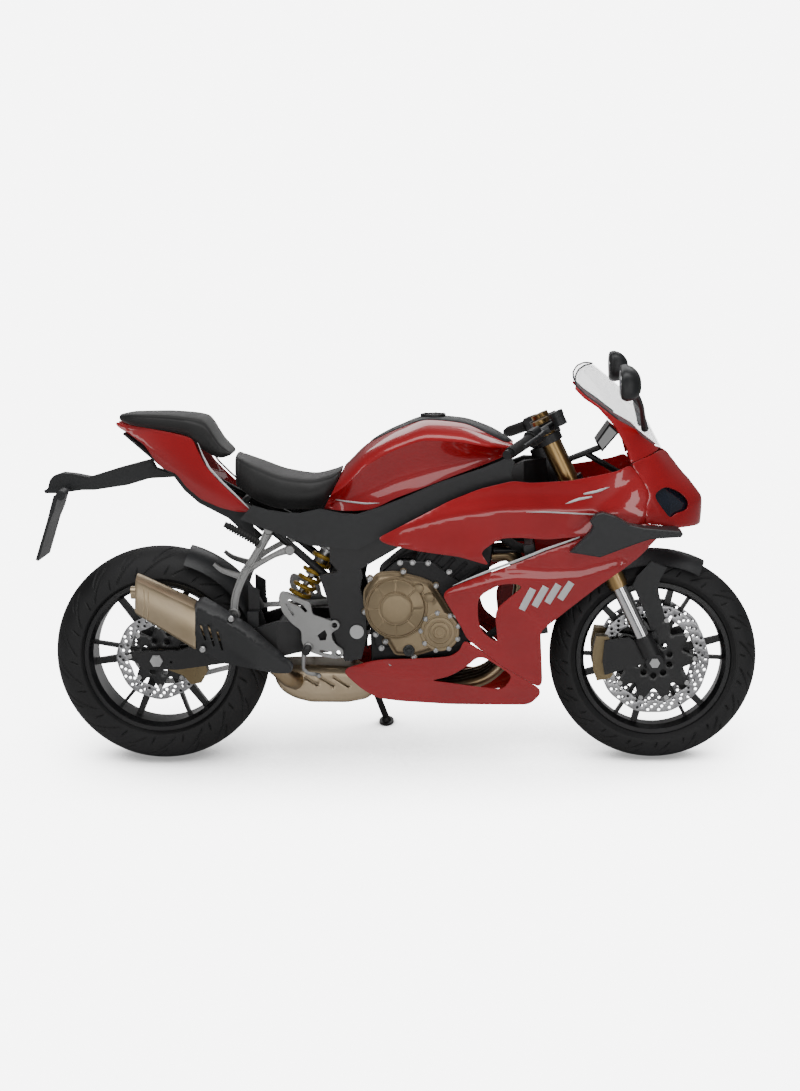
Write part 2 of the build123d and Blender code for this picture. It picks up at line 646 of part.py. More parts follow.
HUGGER_GAP = 11.0
HUGGER_HALF_WIDTH = 94.0
HUGGER_DROP = 45.0
HUGGER_REAR_ANGLE = 74.0
HUGGER_SWEEP = 50.0
HUGGER_TAB = (264.0, 296.0, 450.0)
with BuildPart() as rear_hugger:
    crown = REAR_TYRE_RADIUS + HUGGER_GAP
    half = HUGGER_HALF_WIDTH
    start_plane = Plane(
        origin=rear_axle_at,
        x_dir=(0, 1, 0),
        z_dir=Vector(1, 0, 0).rotate(Axis.Y, 90 - HUGGER_REAR_ANGLE),
    )
    with BuildSketch(start_plane):
        with BuildLine():
            ThreePointArc((-half, crown - HUGGER_DROP), (0, crown), (half, crown - HUGGER_DROP))
            Line((half, crown - HUGGER_DROP), (half + GUARD_WALL, crown - HUGGER_DROP))
            ThreePointArc(
                (half + GUARD_WALL, crown - HUGGER_DROP),
                (0, crown + GUARD_WALL),
                (-half - GUARD_WALL, crown - HUGGER_DROP),
            )
            Line((-half - GUARD_WALL, crown - HUGGER_DROP), (-half, crown - HUGGER_DROP))
        make_face()
    revolve(axis=Axis(rear_axle_at, (0, 1, 0)), revolution_arc=HUGGER_SWEEP)
    # Tabs reach out over the chain and down to the arms.
    tab_back, tab_front, tab_height = HUGGER_TAB
    arm_share = (tab_back - ARM_SECTIONS[2][0]) / (ARM_SECTIONS[1][0] - ARM_SECTIONS[2][0])
    arm_front_share = (tab_front - ARM_SECTIONS[2][0]) / (ARM_SECTIONS[1][0] - ARM_SECTIONS[2][0])
    arm_rise = ARM_SECTIONS[1][4] - ARM_SECTIONS[2][4]
    for side in (1, -1):
        flange = [(tab_back, tab_height), (tab_front, tab_height), (tab_front, 512), (tab_back, 532)]
        plate(flange, side * half, side * (half + GUARD_WALL))
        shelf = [(tab_back, tab_height), (tab_front, tab_height), (tab_front, tab_height + 4), (tab_back, tab_height + 4)]
        plate(shelf, side * half, side * 132)
        post = [
            (tab_back, tab_height + 4),
            (tab_front, tab_height + 4),
            (tab_front, ARM_SECTIONS[2][4] + arm_rise * arm_front_share + RUNNING_GAP),
            (tab_back, ARM_SECTIONS[2][4] + arm_rise * arm_share + RUNNING_GAP),
        ]
        plate(post, side * 126, side * 132)
keep(rear_hugger, "rear_hugger")

DAMPER_FOOT = Vector(378, 0, 446)
DAMPER_HEAD = Vector(512, 0, 650)
DAMPER_RADIUS = 16.5
SPRING_RADIUS = 35.0
SPRING_WIRE = 6.5
SPRING_TURNS = 6
damper_run = (DAMPER_HEAD - DAMPER_FOOT).normalized()
with BuildPart() as shock_body:
    rod(DAMPER_FOOT, DAMPER_HEAD, 9)
    rod(DAMPER_FOOT + damper_run * 112, DAMPER_FOOT + damper_run * 220, DAMPER_RADIUS + 4)
    for seat in (24, 200):
        rod(DAMPER_FOOT + damper_run * seat, DAMPER_FOOT + damper_run * (seat + 6), SPRING_RADIUS + 2)
    with BuildSketch(Plane(origin=DAMPER_FOOT, x_dir=(1, 0, 0), z_dir=(0, 1, 0))):
        Circle(15)
    extrude(amount=16, both=True)
    with BuildSketch(Plane(origin=DAMPER_HEAD, x_dir=(1, 0, 0), z_dir=(0, 1, 0))):
        Circle(15)
    extrude(amount=16, both=True)
    # Lug on the swingarm's brace.
    plate([(362, brace_top + RUNNING_GAP), (394, brace_top + RUNNING_GAP), (392, 446), (364, 446)], 10, -10)
keep(shock_body, "shock_body")

SPRING_START = 30.3
SPRING_END = 199.7
SPRING_STEPS = 16
with BuildPart() as shock_spring:
    coil_run = SPRING_END - SPRING_START - 2 * SPRING_WIRE
    coil_radius = SPRING_RADIUS - SPRING_WIRE
    rise = math.degrees(math.atan(coil_run / SPRING_TURNS / (2 * math.pi * coil_radius)))
    level = Plane(origin=DAMPER_FOOT, x_dir=(0, 1, 0), z_dir=damper_run)
    for step in range(SPRING_TURNS * SPRING_STEPS + 1):
        share = step / (SPRING_TURNS * SPRING_STEPS)
        height = SPRING_START + SPRING_WIRE + coil_run * share
        outward = Location((0, 0, height), (0, 0, 360 * step / SPRING_STEPS))
        across = Plane(level.location * outward * Location((coil_radius, 0, 0), (-90 + rise, 0, 0)))
        with BuildSketch(across):
            RegularPolygon(SPRING_WIRE, 8)
    loft(ruled=True)
keep(shock_spring, "shock_spring")


# Frame: steering head, two spars, pivot plates, and the rails that carry the seats.
HEAD_TUBE = (567.0, 694.0)
HEAD_TUBE_RADIUS = 36.0
HEAD_BORE = STEM_RADIUS + RUNNING_GAP
# Each spar's sections from the head back: x, inner and outer distance from the middle, bottom, top.
SPAR_SECTIONS = [
    (1132.0, 8.0, 30.0, 812.0, 884.0),
    (1060.0, 52.0, 92.0, 780.0, 880.0),
    (930.0, 96.0, 136.0, 728.0, 828.0),
    (700.0, 108.0, 146.0, 640.0, 742.0),
    (560.0, 116.0, 146.0, 560.0, 700.0),
]
PIVOT_PLATE = [(548, 575), (610, 640), (585, 600), (598, 560), (590, 520), (606, 470), (607, 380), (592, 318)]
PIVOT_PLATE += [(545, 312), (530, 340), (512, 400), (496, 490), (474, 560)]
PLATE_INNER = 116.0
PLATE_OUTER = 146.0
with BuildPart() as main_frame:
    head_bottom, head_top = HEAD_TUBE
    fork_round(head_bottom, head_top, HEAD_TUBE_RADIUS, 0, forward=-YOKE_OFFSET)
    for side in (1, -1):
        for x, inner, outer, bottom, top in SPAR_SECTIONS:
            with BuildSketch(Plane(origin=(x, 0, 0), x_dir=(0, 1, 0), z_dir=(1, 0, 0))):
                with Locations((side * (inner + outer) / 2, (bottom + top) / 2)):
                    Rectangle(outer - inner, top - bottom)
        loft(ruled=True)
        plate(PIVOT_PLATE, side * PLATE_INNER, side * PLATE_OUTER)
        plate(
            [(505, 600), (505, 698), (560, 704), (640, 680), (600, 600), (540, 560)],
            side * PLATE_INNER,
            side * PLATE_OUTER,
        )
    for x, z, radius in ((533.0, 673.0, 16.0), (560.0, 316.0, 10.0)):
        rod((x, PLATE_INNER + 4, z), (x, -PLATE_INNER - 4, z), radius)
    with BuildSketch(fork_plane(head_bottom - 1, forward=-YOKE_OFFSET)):
        Circle(HEAD_BORE)
    extrude(amount=head_top - head_bottom + 2, mode=Mode.SUBTRACT)
    with BuildSketch(side_plane(0)):
        with Locations(PIVOT):
            Circle(PIVOT_BOLT_RADIUS + RUNNING_GAP)
    extrude(amount=200, both=True, mode=Mode.SUBTRACT)

with BuildPart() as pivot_bolt:
    rod((PIVOT[0], -PLATE_OUTER - 6, PIVOT[1]), (PIVOT[0], PLATE_OUTER + 6, PIVOT[1]), PIVOT_BOLT_RADIUS)
    for side in (1, -1):
        start = side * (PLATE_OUTER + RUNNING_GAP)
        rod((PIVOT[0], start, PIVOT[1]), (PIVOT[0], start + side * 7, PIVOT[1]), 20)
keep(pivot_bolt, "pivot_bolt")

RAIL_Y = 96.0
RAIL_RADIUS = 11.0
with BuildPart() as subframe:
    for side in (1, -1):
        y = side * RAIL_Y
        top_front, knee, back = Vector(515, y, 640), Vector(250, y * 0.9, 760), Vector(30, y * 0.55, 890)
        low_front = Vector(496, y, 548)
        rod(top_front, knee, RAIL_RADIUS)
        rod(knee, back, RAIL_RADIUS)
        rod(low_front, knee, RAIL_RADIUS)
        for end in (top_front, low_front):
            rod(end, (end.X, side * (PLATE_INNER - RUNNING_GAP), end.Z), 9)
    rod((30, RAIL_Y * 0.55, 890), (30, -RAIL_Y * 0.55, 890), RAIL_RADIUS)
    rod((250, RAIL_Y * 0.9, 760), (250, -RAIL_Y * 0.9, 760), RAIL_RADIUS)

# Engine: one heavy block for crankcase, cylinders and head, with the covers that show.
CRANKCASE = [(615, 300), (612, 470), (640, 560), (700, 610), (800, 600), (905, 520), (905, 330), (870, 262), (650, 262)]
CYLINDERS = [(720, 560), (770, 640), (870, 690), (975, 650), (960, 560), (900, 470)]
CRANK_HALF_WIDTH = 108.0
CASE_HALF_WIDTH = 150.0
HEAD_HALF_WIDTH = 149.0
WIDE_CASE = [(628, 352), (628, 548), (700, 606), (800, 600), (905, 520), (905, 352)]
SPROCKET_BAY = [(600, 338), (600, 480), (738, 480), (738, 338)]
with BuildPart() as engine_block:
    plate(CRANKCASE, CRANK_HALF_WIDTH, -CRANK_HALF_WIDTH)
    for side in (1, -1):
        plate(WIDE_CASE, side * (CRANK_HALF_WIDTH - 1), side * CASE_HALF_WIDTH)
    plate(CYLINDERS, HEAD_HALF_WIDTH, -HEAD_HALF_WIDTH)
    plate(SPROCKET_BAY, 86, CASE_HALF_WIDTH + 1, mode=Mode.SUBTRACT)
    rod((GEARBOX_SHAFT[0], 85, GEARBOX_SHAFT[2]), (GEARBOX_SHAFT[0], 112, GEARBOX_SHAFT[2]), 12)
    rod(
        (GEARBOX_SHAFT[0], CHAIN_Y - 3, GEARBOX_SHAFT[2]),
        (GEARBOX_SHAFT[0], CHAIN_Y + 3, GEARBOX_SHAFT[2]),
        gearbox_pitch_radius - ROLLER_RADIUS - 1.5,
    )
keep(engine_block, "engine_block")

CLUTCH_OUTLINE = [(618, 550), (593, 520), (597, 474), (612, 443), (640, 413), (662, 378), (690, 330), (745, 326)]
CLUTCH_OUTLINE += [(793, 340), (862, 366), (876, 398), (872, 424), (834, 487), (798, 545), (768, 558), (691, 578)]
CLUTCH_OUTLINE += [(640, 571)]
CLUTCH_AT = (696.0, 474.0)
SMALL_COVER_AT = (820.0, 406.0)
COVER_DEPTH = 30.0
with BuildPart() as clutch_cover:
    start = -CASE_HALF_WIDTH - RUNNING_GAP
    plate([(x if x > 628 else 628, z) for x, z in CLUTCH_OUTLINE], start, start - COVER_DEPTH)
    for (x, z), radius, depth in ((CLUTCH_AT, 84, 44), (CLUTCH_AT, 42, 50), (SMALL_COVER_AT, 50, 38), (SMALL_COVER_AT, 34, 44)):
        with BuildSketch(side_plane(start - COVER_DEPTH + 2)):
            with Locations((x, z)):
                Circle(radius)
        extrude(amount=depth - COVER_DEPTH + 2, taper=12)

ALTERNATOR_AT = (800.0, 418.0)
with BuildPart() as engine_covers:
    add(clutch_cover.part)
    start = CASE_HALF_WIDTH + RUNNING_GAP
    with BuildSketch(side_plane(start)):
        with Locations(ALTERNATOR_AT):
            Circle(76)
    extrude(amount=-26)
    with BuildSketch(side_plane(start + 24)):
        with Locations(ALTERNATOR_AT):
            Circle(72)
    extrude(amount=-16, taper=20)
keep(engine_covers, "engine_covers")

RADIATOR_FRONT = (1104.0, 0.0, 524.0)
RADIATOR_SIZE = (250.0, 350.0, 30.0)
RADIATOR_TILT = 9.0
with BuildPart() as radiator:
    core_plane = Plane(
        origin=RADIATOR_FRONT,
        x_dir=(0, 1, 0),
        z_dir=Vector(1, 0, 0).rotate(Axis.Y, -RADIATOR_TILT),
    )
    with BuildSketch(core_plane):
        Rectangle(RADIATOR_SIZE[1] - 50, RADIATOR_SIZE[0])
    extrude(amount=-RADIATOR_SIZE[2] + 6)
    with BuildSketch(core_plane.offset(3)):
        for side in (1, -1):
            with Locations((side * (RADIATOR_SIZE[1] - 46) / 2, 0)):
                Rectangle(46, RADIATOR_SIZE[0] + 8)
    extrude(amount=-RADIATOR_SIZE[2])
    for side in (1, -1):
        rod((1080, side * 120, 628), (972.9, side * 120, 628), 8)
keep(radiator, "radiator")

# Exhaust: four pipes down the front, a box under the engine and a short muffler on the right.
HEADER_RADIUS = 18.0
HEADER_ROWS = [-72.0, -27.0, 18.0, 63.0]
HEADER_ROUTE = [(968.7, 606), (1046, 593.1), (1040, 372), (912, 226), (618, 222)]
BOX = [(334, 286), (334, 252), (353, 217), (396, 191), (439, 178), (545, 178), (600, 190), (619, 205), (619, 240)]
BOX += [(604, 252), (560, 282)]
BOX_RIGHT = -98.0
BOX_LEFT = 84.0
MUFFLER_INNER = -152.0
MUFFLER_OUTER = -214.0
with BuildPart() as exhaust_headers:
    for y in HEADER_ROWS:
        with BuildLine():
            FilletPolyline(*[(x, y, z) for x, z in HEADER_ROUTE], radius=46)
        with BuildSketch(Plane(origin=(HEADER_ROUTE[0][0], y, HEADER_ROUTE[0][1]), z_dir=(90, 0, -15))):
            Circle(HEADER_RADIUS)
        sweep()
keep(exhaust_headers, "exhaust_headers")
with BuildPart() as exhaust_box:
    plate(BOX, BOX_LEFT, BOX_RIGHT)
    rod((372, BOX_RIGHT + 16, 256), (374, MUFFLER_INNER + 8.5, 296), 22)
    with BuildSketch(Plane(origin=(620, 0, 222), x_dir=(0, 1, 0), z_dir=(-1, 0, 0))):
        with Locations(*[(y, 0) for y in HEADER_ROWS]):
            Circle(HEADER_RADIUS + RUNNING_GAP)
    extrude(amount=14, mode=Mode.SUBTRACT)
keep(exhaust_box, "exhaust_box")

MUFFLER = [(-41, 578), (124, 496), (121, 356), (-49, 462)]
SHIELD = [(125, 495), (146, 509), (276, 422), (404, 306), (388, 284), (300, 300), (196, 315), (121, 355)]
with BuildPart() as muffler:
    plate(MUFFLER, MUFFLER_INNER, MUFFLER_OUTER)
    chamfer(muffler.edges().filter_by(Axis.Y, reverse=True).group_by(Axis.Y)[0], length=14)
    chamfer(muffler.edges().filter_by(Axis.Y, reverse=True).group_by(Axis.Y)[-1], length=8)
    with BuildSketch(Plane(origin=(-43, -184, 520), x_dir=(0, 1, 0), z_dir=(-1, 0, 0))):
        Circle(19)
        Circle(15, mode=Mode.SUBTRACT)
    extrude(amount=14)
keep(muffler, "muffler")
with BuildPart() as muffler_shield:
    plate(SHIELD, MUFFLER_INNER, MUFFLER_OUTER + 4)
    chamfer(muffler_shield.edges().filter_by(Axis.Y, reverse=True).group_by(Axis.Y)[0], length=10)
keep(muffler_shield, "muffler_shield")


# Bodywork: panels cut from one fairing skin, with the tank, seats and tail behind it.
# The skin's sections from the bottom up: height, nose position, then the half-width at each of the
# fixed stations, one tenth behind the nose, and at the nose's shoulder.
SKIN_STATIONS = [520.0, 700.0, 880.0, 1040.0, 1200.0, 1340.0]
SKIN_SECTIONS = [
    (170.0, 1500.0, (98, 108, 114, 116, 100, 70), 40, 20),
    (300.0, 1500.0, (128, 160, 170, 168, 150, 130), 90, 40),
    (420.0, 1500.0, (160, 200, 206, 204, 196, 180), 120, 50),
    (560.0, 1500.0, (168, 216, 222, 224, 216, 190), 130, 60),
    (680.0, 1566.0, (168, 206, 228, 234, 230, 208), 152, 74),
    (760.0, 1572.0, (160, 196, 222, 230, 228, 208), 150, 70),
    (850.0, 1508.0, (150, 180, 208, 216, 214, 190), 132, 60),
    (930.0, 1448.0, (130, 150, 180, 192, 190, 160), 110, 50),
    (1110.0, 1330.0, (80, 90, 110, 120, 112, 100), 76, 36),
]


def skin(inset):
    """Adds the solid inside the fairing's skin, made smaller by an inset, on the right side."""
    for height, nose, widths, lamp, tip in SKIN_SECTIONS:
        front = max(nose, SKIN_STATIONS[-1] + 30)
        stations = list(zip(SKIN_STATIONS, widths))
        stations += [((SKIN_STATIONS[-1] + front) / 2 + 20, lamp), (front - 14, tip)]
        with BuildSketch(Plane.XY.offset(height)) as section:
            Polygon(
                (SKIN_STATIONS[0], inset),
                *[(x - inset * (x > 1340) * 0.5, inset - y) for x, y in stations],
                (front - inset, inset),
                align=None,
            )
        yield section.sketch


with BuildPart() as fairing_solid:
    loft([section for section in skin(0.0)], ruled=True)
with BuildPart() as fairing_core:
    loft([section for section in skin(PANEL_WALL)], ruled=True)
with BuildPart() as fairing_skin:
    add(fairing_solid.part)
    add(fairing_core.part, mode=Mode.SUBTRACT)

UPPER_FAIRING = [
    (643, 674), (711, 710), (852, 783), (936, 816), (1029, 838), (1076, 832), (1188, 837), (1272, 851),
    (1328, 862), (1361, 878), (1412, 800), (1404, 760), (1400, 712), (1244, 682), (1121, 673), (1048, 679), (992, 677), (935, 637),
    (963, 598), (879, 624), (766, 639), (668, 659),
]
LOWER_FAIRING = [
    (844, 533), (900, 556), (963, 580), (1048, 610), (1121, 640), (1244, 682), (1400, 712), (1475, 697), (1441, 672), (1427, 658),
    (1385, 615), (1329, 576), (1273, 539), (1188, 473), (1118, 416), (1103, 404), (1106, 386), (1111, 242),
    (1103, 231), (990, 304), (933, 352), (894, 387), (883, 415), (827, 516),
]
LOWER_WINDOW = [
    (928, 500), (940, 517), (991, 545), (1033, 548), (1058, 539), (985, 479), (976, 456), (984, 370), (939, 405),
    (928, 442),
]
BELLY = [
    (887, 382), (876, 348), (847, 330), (790, 325), (661, 319), (624, 314), (546, 290), (537, 276), (588, 226),
    (633, 197), (702, 188), (846, 179), (1074, 177), (1109, 213), (1103, 230), (990, 303), (933, 351),
]
BELLY_WINDOW = [(789, 256), (846, 270), (890, 296), (927, 331), (950, 325), (1026, 270), (998, 226), (903, 238), (832, 250)]
NOSE = [
    (1361, 879.7), (1412, 800), (1404, 760), (1400, 712), (1475, 697), (1490, 690), (1566, 690), (1580, 700), (1580, 760),
    (1540, 812), (1500, 880), (1452, 909.7),
]
LAMP = [
    (1446, 804), (1460, 812), (1502, 794), (1526, 770), (1530, 749), (1521, 738), (1488, 734), (1474, 718), (1432, 776),
    (1426, 793),
]


def panel(label, outline, window=None):
    """Cuts both sides' panel from the fairing's skin with a side outline."""
    with BuildPart() as piece:
        plate(outline, 0, -300)
        if window:
            plate(window, 1, -301, mode=Mode.SUBTRACT)
        add(fairing_skin.part, mode=Mode.INTERSECT)
        mirror(about=Plane.XZ)
    keep(piece, label)


panel("side_fairing", UPPER_FAIRING)
panel("lower_fairing", LOWER_FAIRING, LOWER_WINDOW)
panel("belly_pan", BELLY, BELLY_WINDOW)
panel("nose_cowl", NOSE, LAMP)

LAMP_BACK = 60.0
with BuildPart() as headlamps:
    plate([(x, z) for x, z in LAMP], -LAMP_BACK, -300)
    add(fairing_core.part, mode=Mode.INTERSECT)
    mirror(about=Plane.XZ)
keep(headlamps, "headlamps")

# The screen and the strips beside it are cut from one bubble, widest at its foot.
# Columns: height, front, where the side ends, half-width there.
BUBBLE_SECTIONS = [
    (870.0, 1479.6, 1330.0, 179.6),
    (925.0, 1448.6, 1300.0, 169.6),
    (1000.0, 1408.0, 1250.0, 150.0),
    (1080.0, 1342.0, 1200.0, 122.0),
    (1152.0, 1258.0, 1150.0, 84.0),
]
SCREEN_WALL = 3.0
SCREEN = [
    (1208, 1098), (1222, 1160), (1300, 1160), (1480, 960), (1460, 912), (1447, 912), (1395, 952), (1375, 974),
    (1325, 1002), (1275, 1042), (1236, 1070),
]
SURROUND = [
    (1361, 880), (1350, 923), (1316, 985), (1272, 1034), (1230, 1062), (1203, 1090), (1208, 1098), (1236, 1070),
    (1275, 1042), (1325, 1002), (1375, 974), (1395, 952), (1447, 912), (1452, 910),
]


def bubble(inset):
    """Yields the screen bubble's plan sections, made smaller by an inset and open behind."""
    for height, front, back, half in BUBBLE_SECTIONS:
        reach = back - (40 if inset else 0)
        with BuildSketch(Plane.XY.offset(height)) as section:
            with BuildLine():
                ThreePointArc((back, inset - half), (front - inset, 0), (back, half - inset))
                Polyline((back, half - inset), (reach - 1, half - inset), (reach - 1, inset - half), (back, inset - half))
            make_face()
        yield section.sketch


with BuildPart() as bubble_shell:
    loft([section for section in bubble(0.0)], ruled=True)
    loft([section for section in bubble(SCREEN_WALL)], ruled=True, mode=Mode.SUBTRACT)

with BuildPart() as windscreen:
    plate(SCREEN, 300, -300)
    add(bubble_shell.part, mode=Mode.INTERSECT)
keep(windscreen, "windscreen")
with BuildPart() as screen_surround:
    plate(SURROUND, 300, -300)
    add(bubble_shell.part, mode=Mode.INTERSECT)
keep(screen_surround, "screen_surround")


# Tank, seats and tail: lofts through cross-sections set along the bike.
# Tank columns: x, bottom and its half-width, crease and its half-width, shoulder and its half-width, top.
TANK_SECTIONS = [
    (484.0, 745.0, 70.0, 770.0, 84.0, 792.0, 62.0, 812.0),
    (545.0, 742.0, 104.0, 812.0, 124.0, 850.0, 84.0, 866.0),
    (610.0, 746.0, 120.0, 872.0, 144.0, 908.0, 108.0, 926.0),
    (700.0, 782.0, 128.0, 922.0, 158.0, 956.0, 118.0, 975.0),
    (790.0, 816.0, 132.0, 948.0, 166.0, 984.0, 116.0, 1003.0),
    (880.0, 850.0, 128.0, 942.0, 162.0, 978.0, 106.0, 996.0),
    (960.0, 878.0, 112.0, 926.0, 138.0, 950.0, 84.0, 971.0),
    (1030.0, 902.0, 46.0, 914.0, 56.0, 920.0, 40.0, 930.0),
]
TANK_TAIL_CUT = [(487, 750), (505, 781), (528, 827), (547, 871), (530, 900), (400, 900), (400, 700), (487, 700)]
COVER_PLAN = [(612, 0), (640, 44), (760, 62), (900, 66), (1000, 60), (1032, 44), (1060, 0)]
COVER_DEPTH_ON_TANK = 12.0
CAP_AT = (800.0, 0.0)
CAP_RADIUS = 37.0
CAP_HEIGHT = 8.0
CAP_GAP = 1.0
CAP_HINGE = (CAP_AT[0] + CAP_RADIUS + CAP_GAP, 1004.0)
CAP_KNUCKLE = (3.5, 9.0)


def tank_sections():
    for x, bottom, low, crease, wide, shoulder, high, top in TANK_SECTIONS:
        with BuildSketch(Plane(origin=(x, 0, 0), x_dir=(0, 1, 0), z_dir=(1, 0, 0))) as section:
            with BuildLine():
                Polyline((-high, shoulder), (-wide, crease), (-low, bottom), (low, bottom), (wide, crease), (high, shoulder))
                ThreePointArc((high, shoulder), (0, top), (-high, shoulder))
            make_face()
        yield section.sketch


with BuildPart() as tank_form:
    loft([section for section in tank_sections()], ruled=True)
    plate(TANK_TAIL_CUT, 300, -300, mode=Mode.SUBTRACT)

cap_bottom = 992.0
with BuildPart() as tank_top_cover:
    with BuildSketch(Plane.XY.offset(850)):
        Polygon(*COVER_PLAN, align=None)
        mirror(about=Plane.XZ)
    extrude(amount=250)
    add(tank_form.part, mode=Mode.INTERSECT)
    add(tank_form.part.moved(Location((0, 0, -COVER_DEPTH_ON_TANK))), mode=Mode.SUBTRACT)

with BuildPart() as fuel_tank:
    add(tank_form.part)
    add(tank_top_cover.part, mode=Mode.SUBTRACT)
    with BuildSketch(Plane((CAP_AT[0], CAP_AT[1], cap_bottom - 20))):
        Circle(24)
    extrude(amount=40, mode=Mode.SUBTRACT)
keep(fuel_tank, "fuel_tank")

with BuildPart() as tank_top_cover_open:
    add(tank_top_cover.part)
    with BuildSketch(Plane((CAP_AT[0], CAP_AT[1], 900))):
        Circle(CAP_RADIUS + CAP_GAP)
    extrude(amount=200, mode=Mode.SUBTRACT)
    with BuildSketch(side_plane(CAP_KNUCKLE[1] + 1)):
        with Locations(CAP_HINGE):
            Circle(CAP_KNUCKLE[0] + 1)
    extrude(amount=2 * CAP_KNUCKLE[1] + 2, mode=Mode.SUBTRACT)
keep(tank_top_cover_open, "tank_top_cover")

with BuildPart() as fuel_cap:
    with BuildSketch(Plane((CAP_AT[0], CAP_AT[1], cap_bottom + 1))):
        Circle(CAP_RADIUS)
    extrude(amount=1003 + CAP_HEIGHT - cap_bottom)
    fillet(fuel_cap.faces().sort_by(Axis.Z)[-1].edges(), radius=3)
    rod((CAP_HINGE[0], -CAP_KNUCKLE[1], CAP_HINGE[1]), (CAP_HINGE[0], CAP_KNUCKLE[1], CAP_HINGE[1]), CAP_KNUCKLE[0])
keep(fuel_cap, "fuel_cap")

# Seat columns: x, underside, its half-width, widest height, half-width there, edge height, top's half-width, crown.
RIDER_SEAT = [
    (226.0, 812.0, 60.0, 850.0, 88.0, 896.0, 70.0, 908.0),
    (300.0, 768.0, 90.0, 815.0, 126.0, 862.0, 104.0, 876.0),
    (380.0, 746.0, 96.0, 800.0, 134.0, 834.0, 108.0, 848.0),
    (460.0, 744.0, 88.0, 796.0, 122.0, 824.0, 92.0, 838.0),
    (520.0, 746.0, 70.0, 800.0, 100.0, 836.0, 76.0, 852.0),
    (552.0, 780.0, 60.0, 830.0, 84.0, 856.0, 62.0, 866.0),
]
PILLION_SEAT = [
    (-112.0, 999.0, 22.0, 1006.0, 34.0, 1012.0, 28.0, 1018.0),
    (-60.0, 984.0, 44.0, 1000.0, 66.0, 1016.0, 56.0, 1024.0),
    (20.0, 972.0, 58.0, 992.0, 84.0, 1014.0, 72.0, 1024.0),
    (90.0, 958.0, 70.0, 982.0, 98.0, 1008.0, 84.0, 1020.0),
    (140.0, 915.0, 78.0, 960.0, 104.0, 998.0, 88.0, 1012.0),
    (190.0, 892.0, 74.0, 904.0, 98.0, 930.0, 84.0, 944.0),
    (220.0, 900.0, 60.0, 903.0, 80.0, 906.0, 70.0, 912.0),
]
SEAT_FRONT_CUT = [(486.7, 735), (486.7, 752), (504.7, 782), (527.7, 828), (546, 872), (543, 900), (700, 900), (700, 700)]


def saddle(sections):
    """Yields a cushion's cross-sections: flat under, round at the sides, gently crowned."""
    for x, bottom, low, belly, wide, edge, high, crown in sections:
        with BuildSketch(Plane(origin=(x, 0, 0), x_dir=(0, 1, 0), z_dir=(1, 0, 0))) as section:
            with BuildLine():
                Polyline((-high, edge), (-wide, belly), (-low, bottom), (low, bottom), (wide, belly), (high, edge))
                ThreePointArc((high, edge), (0, crown), (-high, edge))
            make_face()
        yield section.sketch


with BuildPart() as rider_seat:
    loft([section for section in saddle(RIDER_SEAT)], ruled=True)
    plate(SEAT_FRONT_CUT, 300, -300, mode=Mode.SUBTRACT)
keep(rider_seat, "rider_seat")

# Tail shell columns: x, lower edge and its half-width, waist and its half-width, top edge and its half-width.
TAIL_SECTIONS = [
    (-128.0, 960.0, 14.0, 985.0, 26.0, 1002.0, 18.0),
    (0.0, 850.0, 50.0, 930.0, 68.0, 978.0, 60.0),
    (130.0, 752.0, 84.0, 850.0, 102.0, 946.0, 88.0),
    (296.0, 640.0, 112.0, 780.0, 134.0, 884.0, 128.0),
]
TAIL = [
    (-122, 997), (-79, 986), (-8, 977), (64, 964), (110, 952), (124, 920), (148, 874), (190, 828), (233, 787),
    (284, 744), (246, 741), (189, 753), (132, 776), (89, 811), (61, 849), (18, 864), (-10, 895), (-32, 930),
    (-80, 962), (-120, 985),
]
TAIL_STRIP = [
    (61, 848.6), (89, 810.6), (132, 775.6), (189, 752.6), (246, 740.6), (284, 743.6), (288, 653), (254, 682), (211, 722),
    (125, 764), (82, 800), (50, 842),
]


def tail_form(inset):
    for x, bottom, low, waist, wide, top, high in TAIL_SECTIONS:
        with BuildSketch(Plane(origin=(x, 0, 0), x_dir=(0, 1, 0), z_dir=(1, 0, 0))) as section:
            left = [(low, bottom - inset), (wide, waist), (high, top)]
            shrunk = [(y - inset, z - (inset if z == top else 0)) for y, z in left]
            Polygon(*shrunk, *[(-y, z) for y, z in reversed(shrunk)], align=None)
        yield section.sketch


with BuildPart() as tail_cowl:
    loft([section for section in tail_form(0.0)], ruled=True)
    loft([section for section in tail_form(PANEL_WALL)], ruled=True, mode=Mode.SUBTRACT)
    plate(TAIL, 300, -300, mode=Mode.INTERSECT)
keep(tail_cowl, "tail_cowl")

with BuildPart() as tail_under:
    loft([section for section in tail_form(1.0)], ruled=True)
    loft([section for section in tail_form(1.0 + PANEL_WALL)], ruled=True, mode=Mode.SUBTRACT)
    plate(TAIL_STRIP, 300, -300, mode=Mode.INTERSECT)
    floor = [(-96, 962), (18, 862), (50, 840), (82, 800), (125, 764), (211, 722), (290, 650)]
    lifted = [(x + 3, z + 4) for x, z in reversed(floor)]
    plate(floor + lifted, 52, -52)
keep(tail_under, "tail_under")

with BuildPart() as pillion_seat:
    loft([section for section in saddle(PILLION_SEAT)], ruled=True)
    plate([(x, z + 0.8) for x, z in TAIL] , 300, -300, mode=Mode.SUBTRACT)
keep(pillion_seat, "pillion_seat")

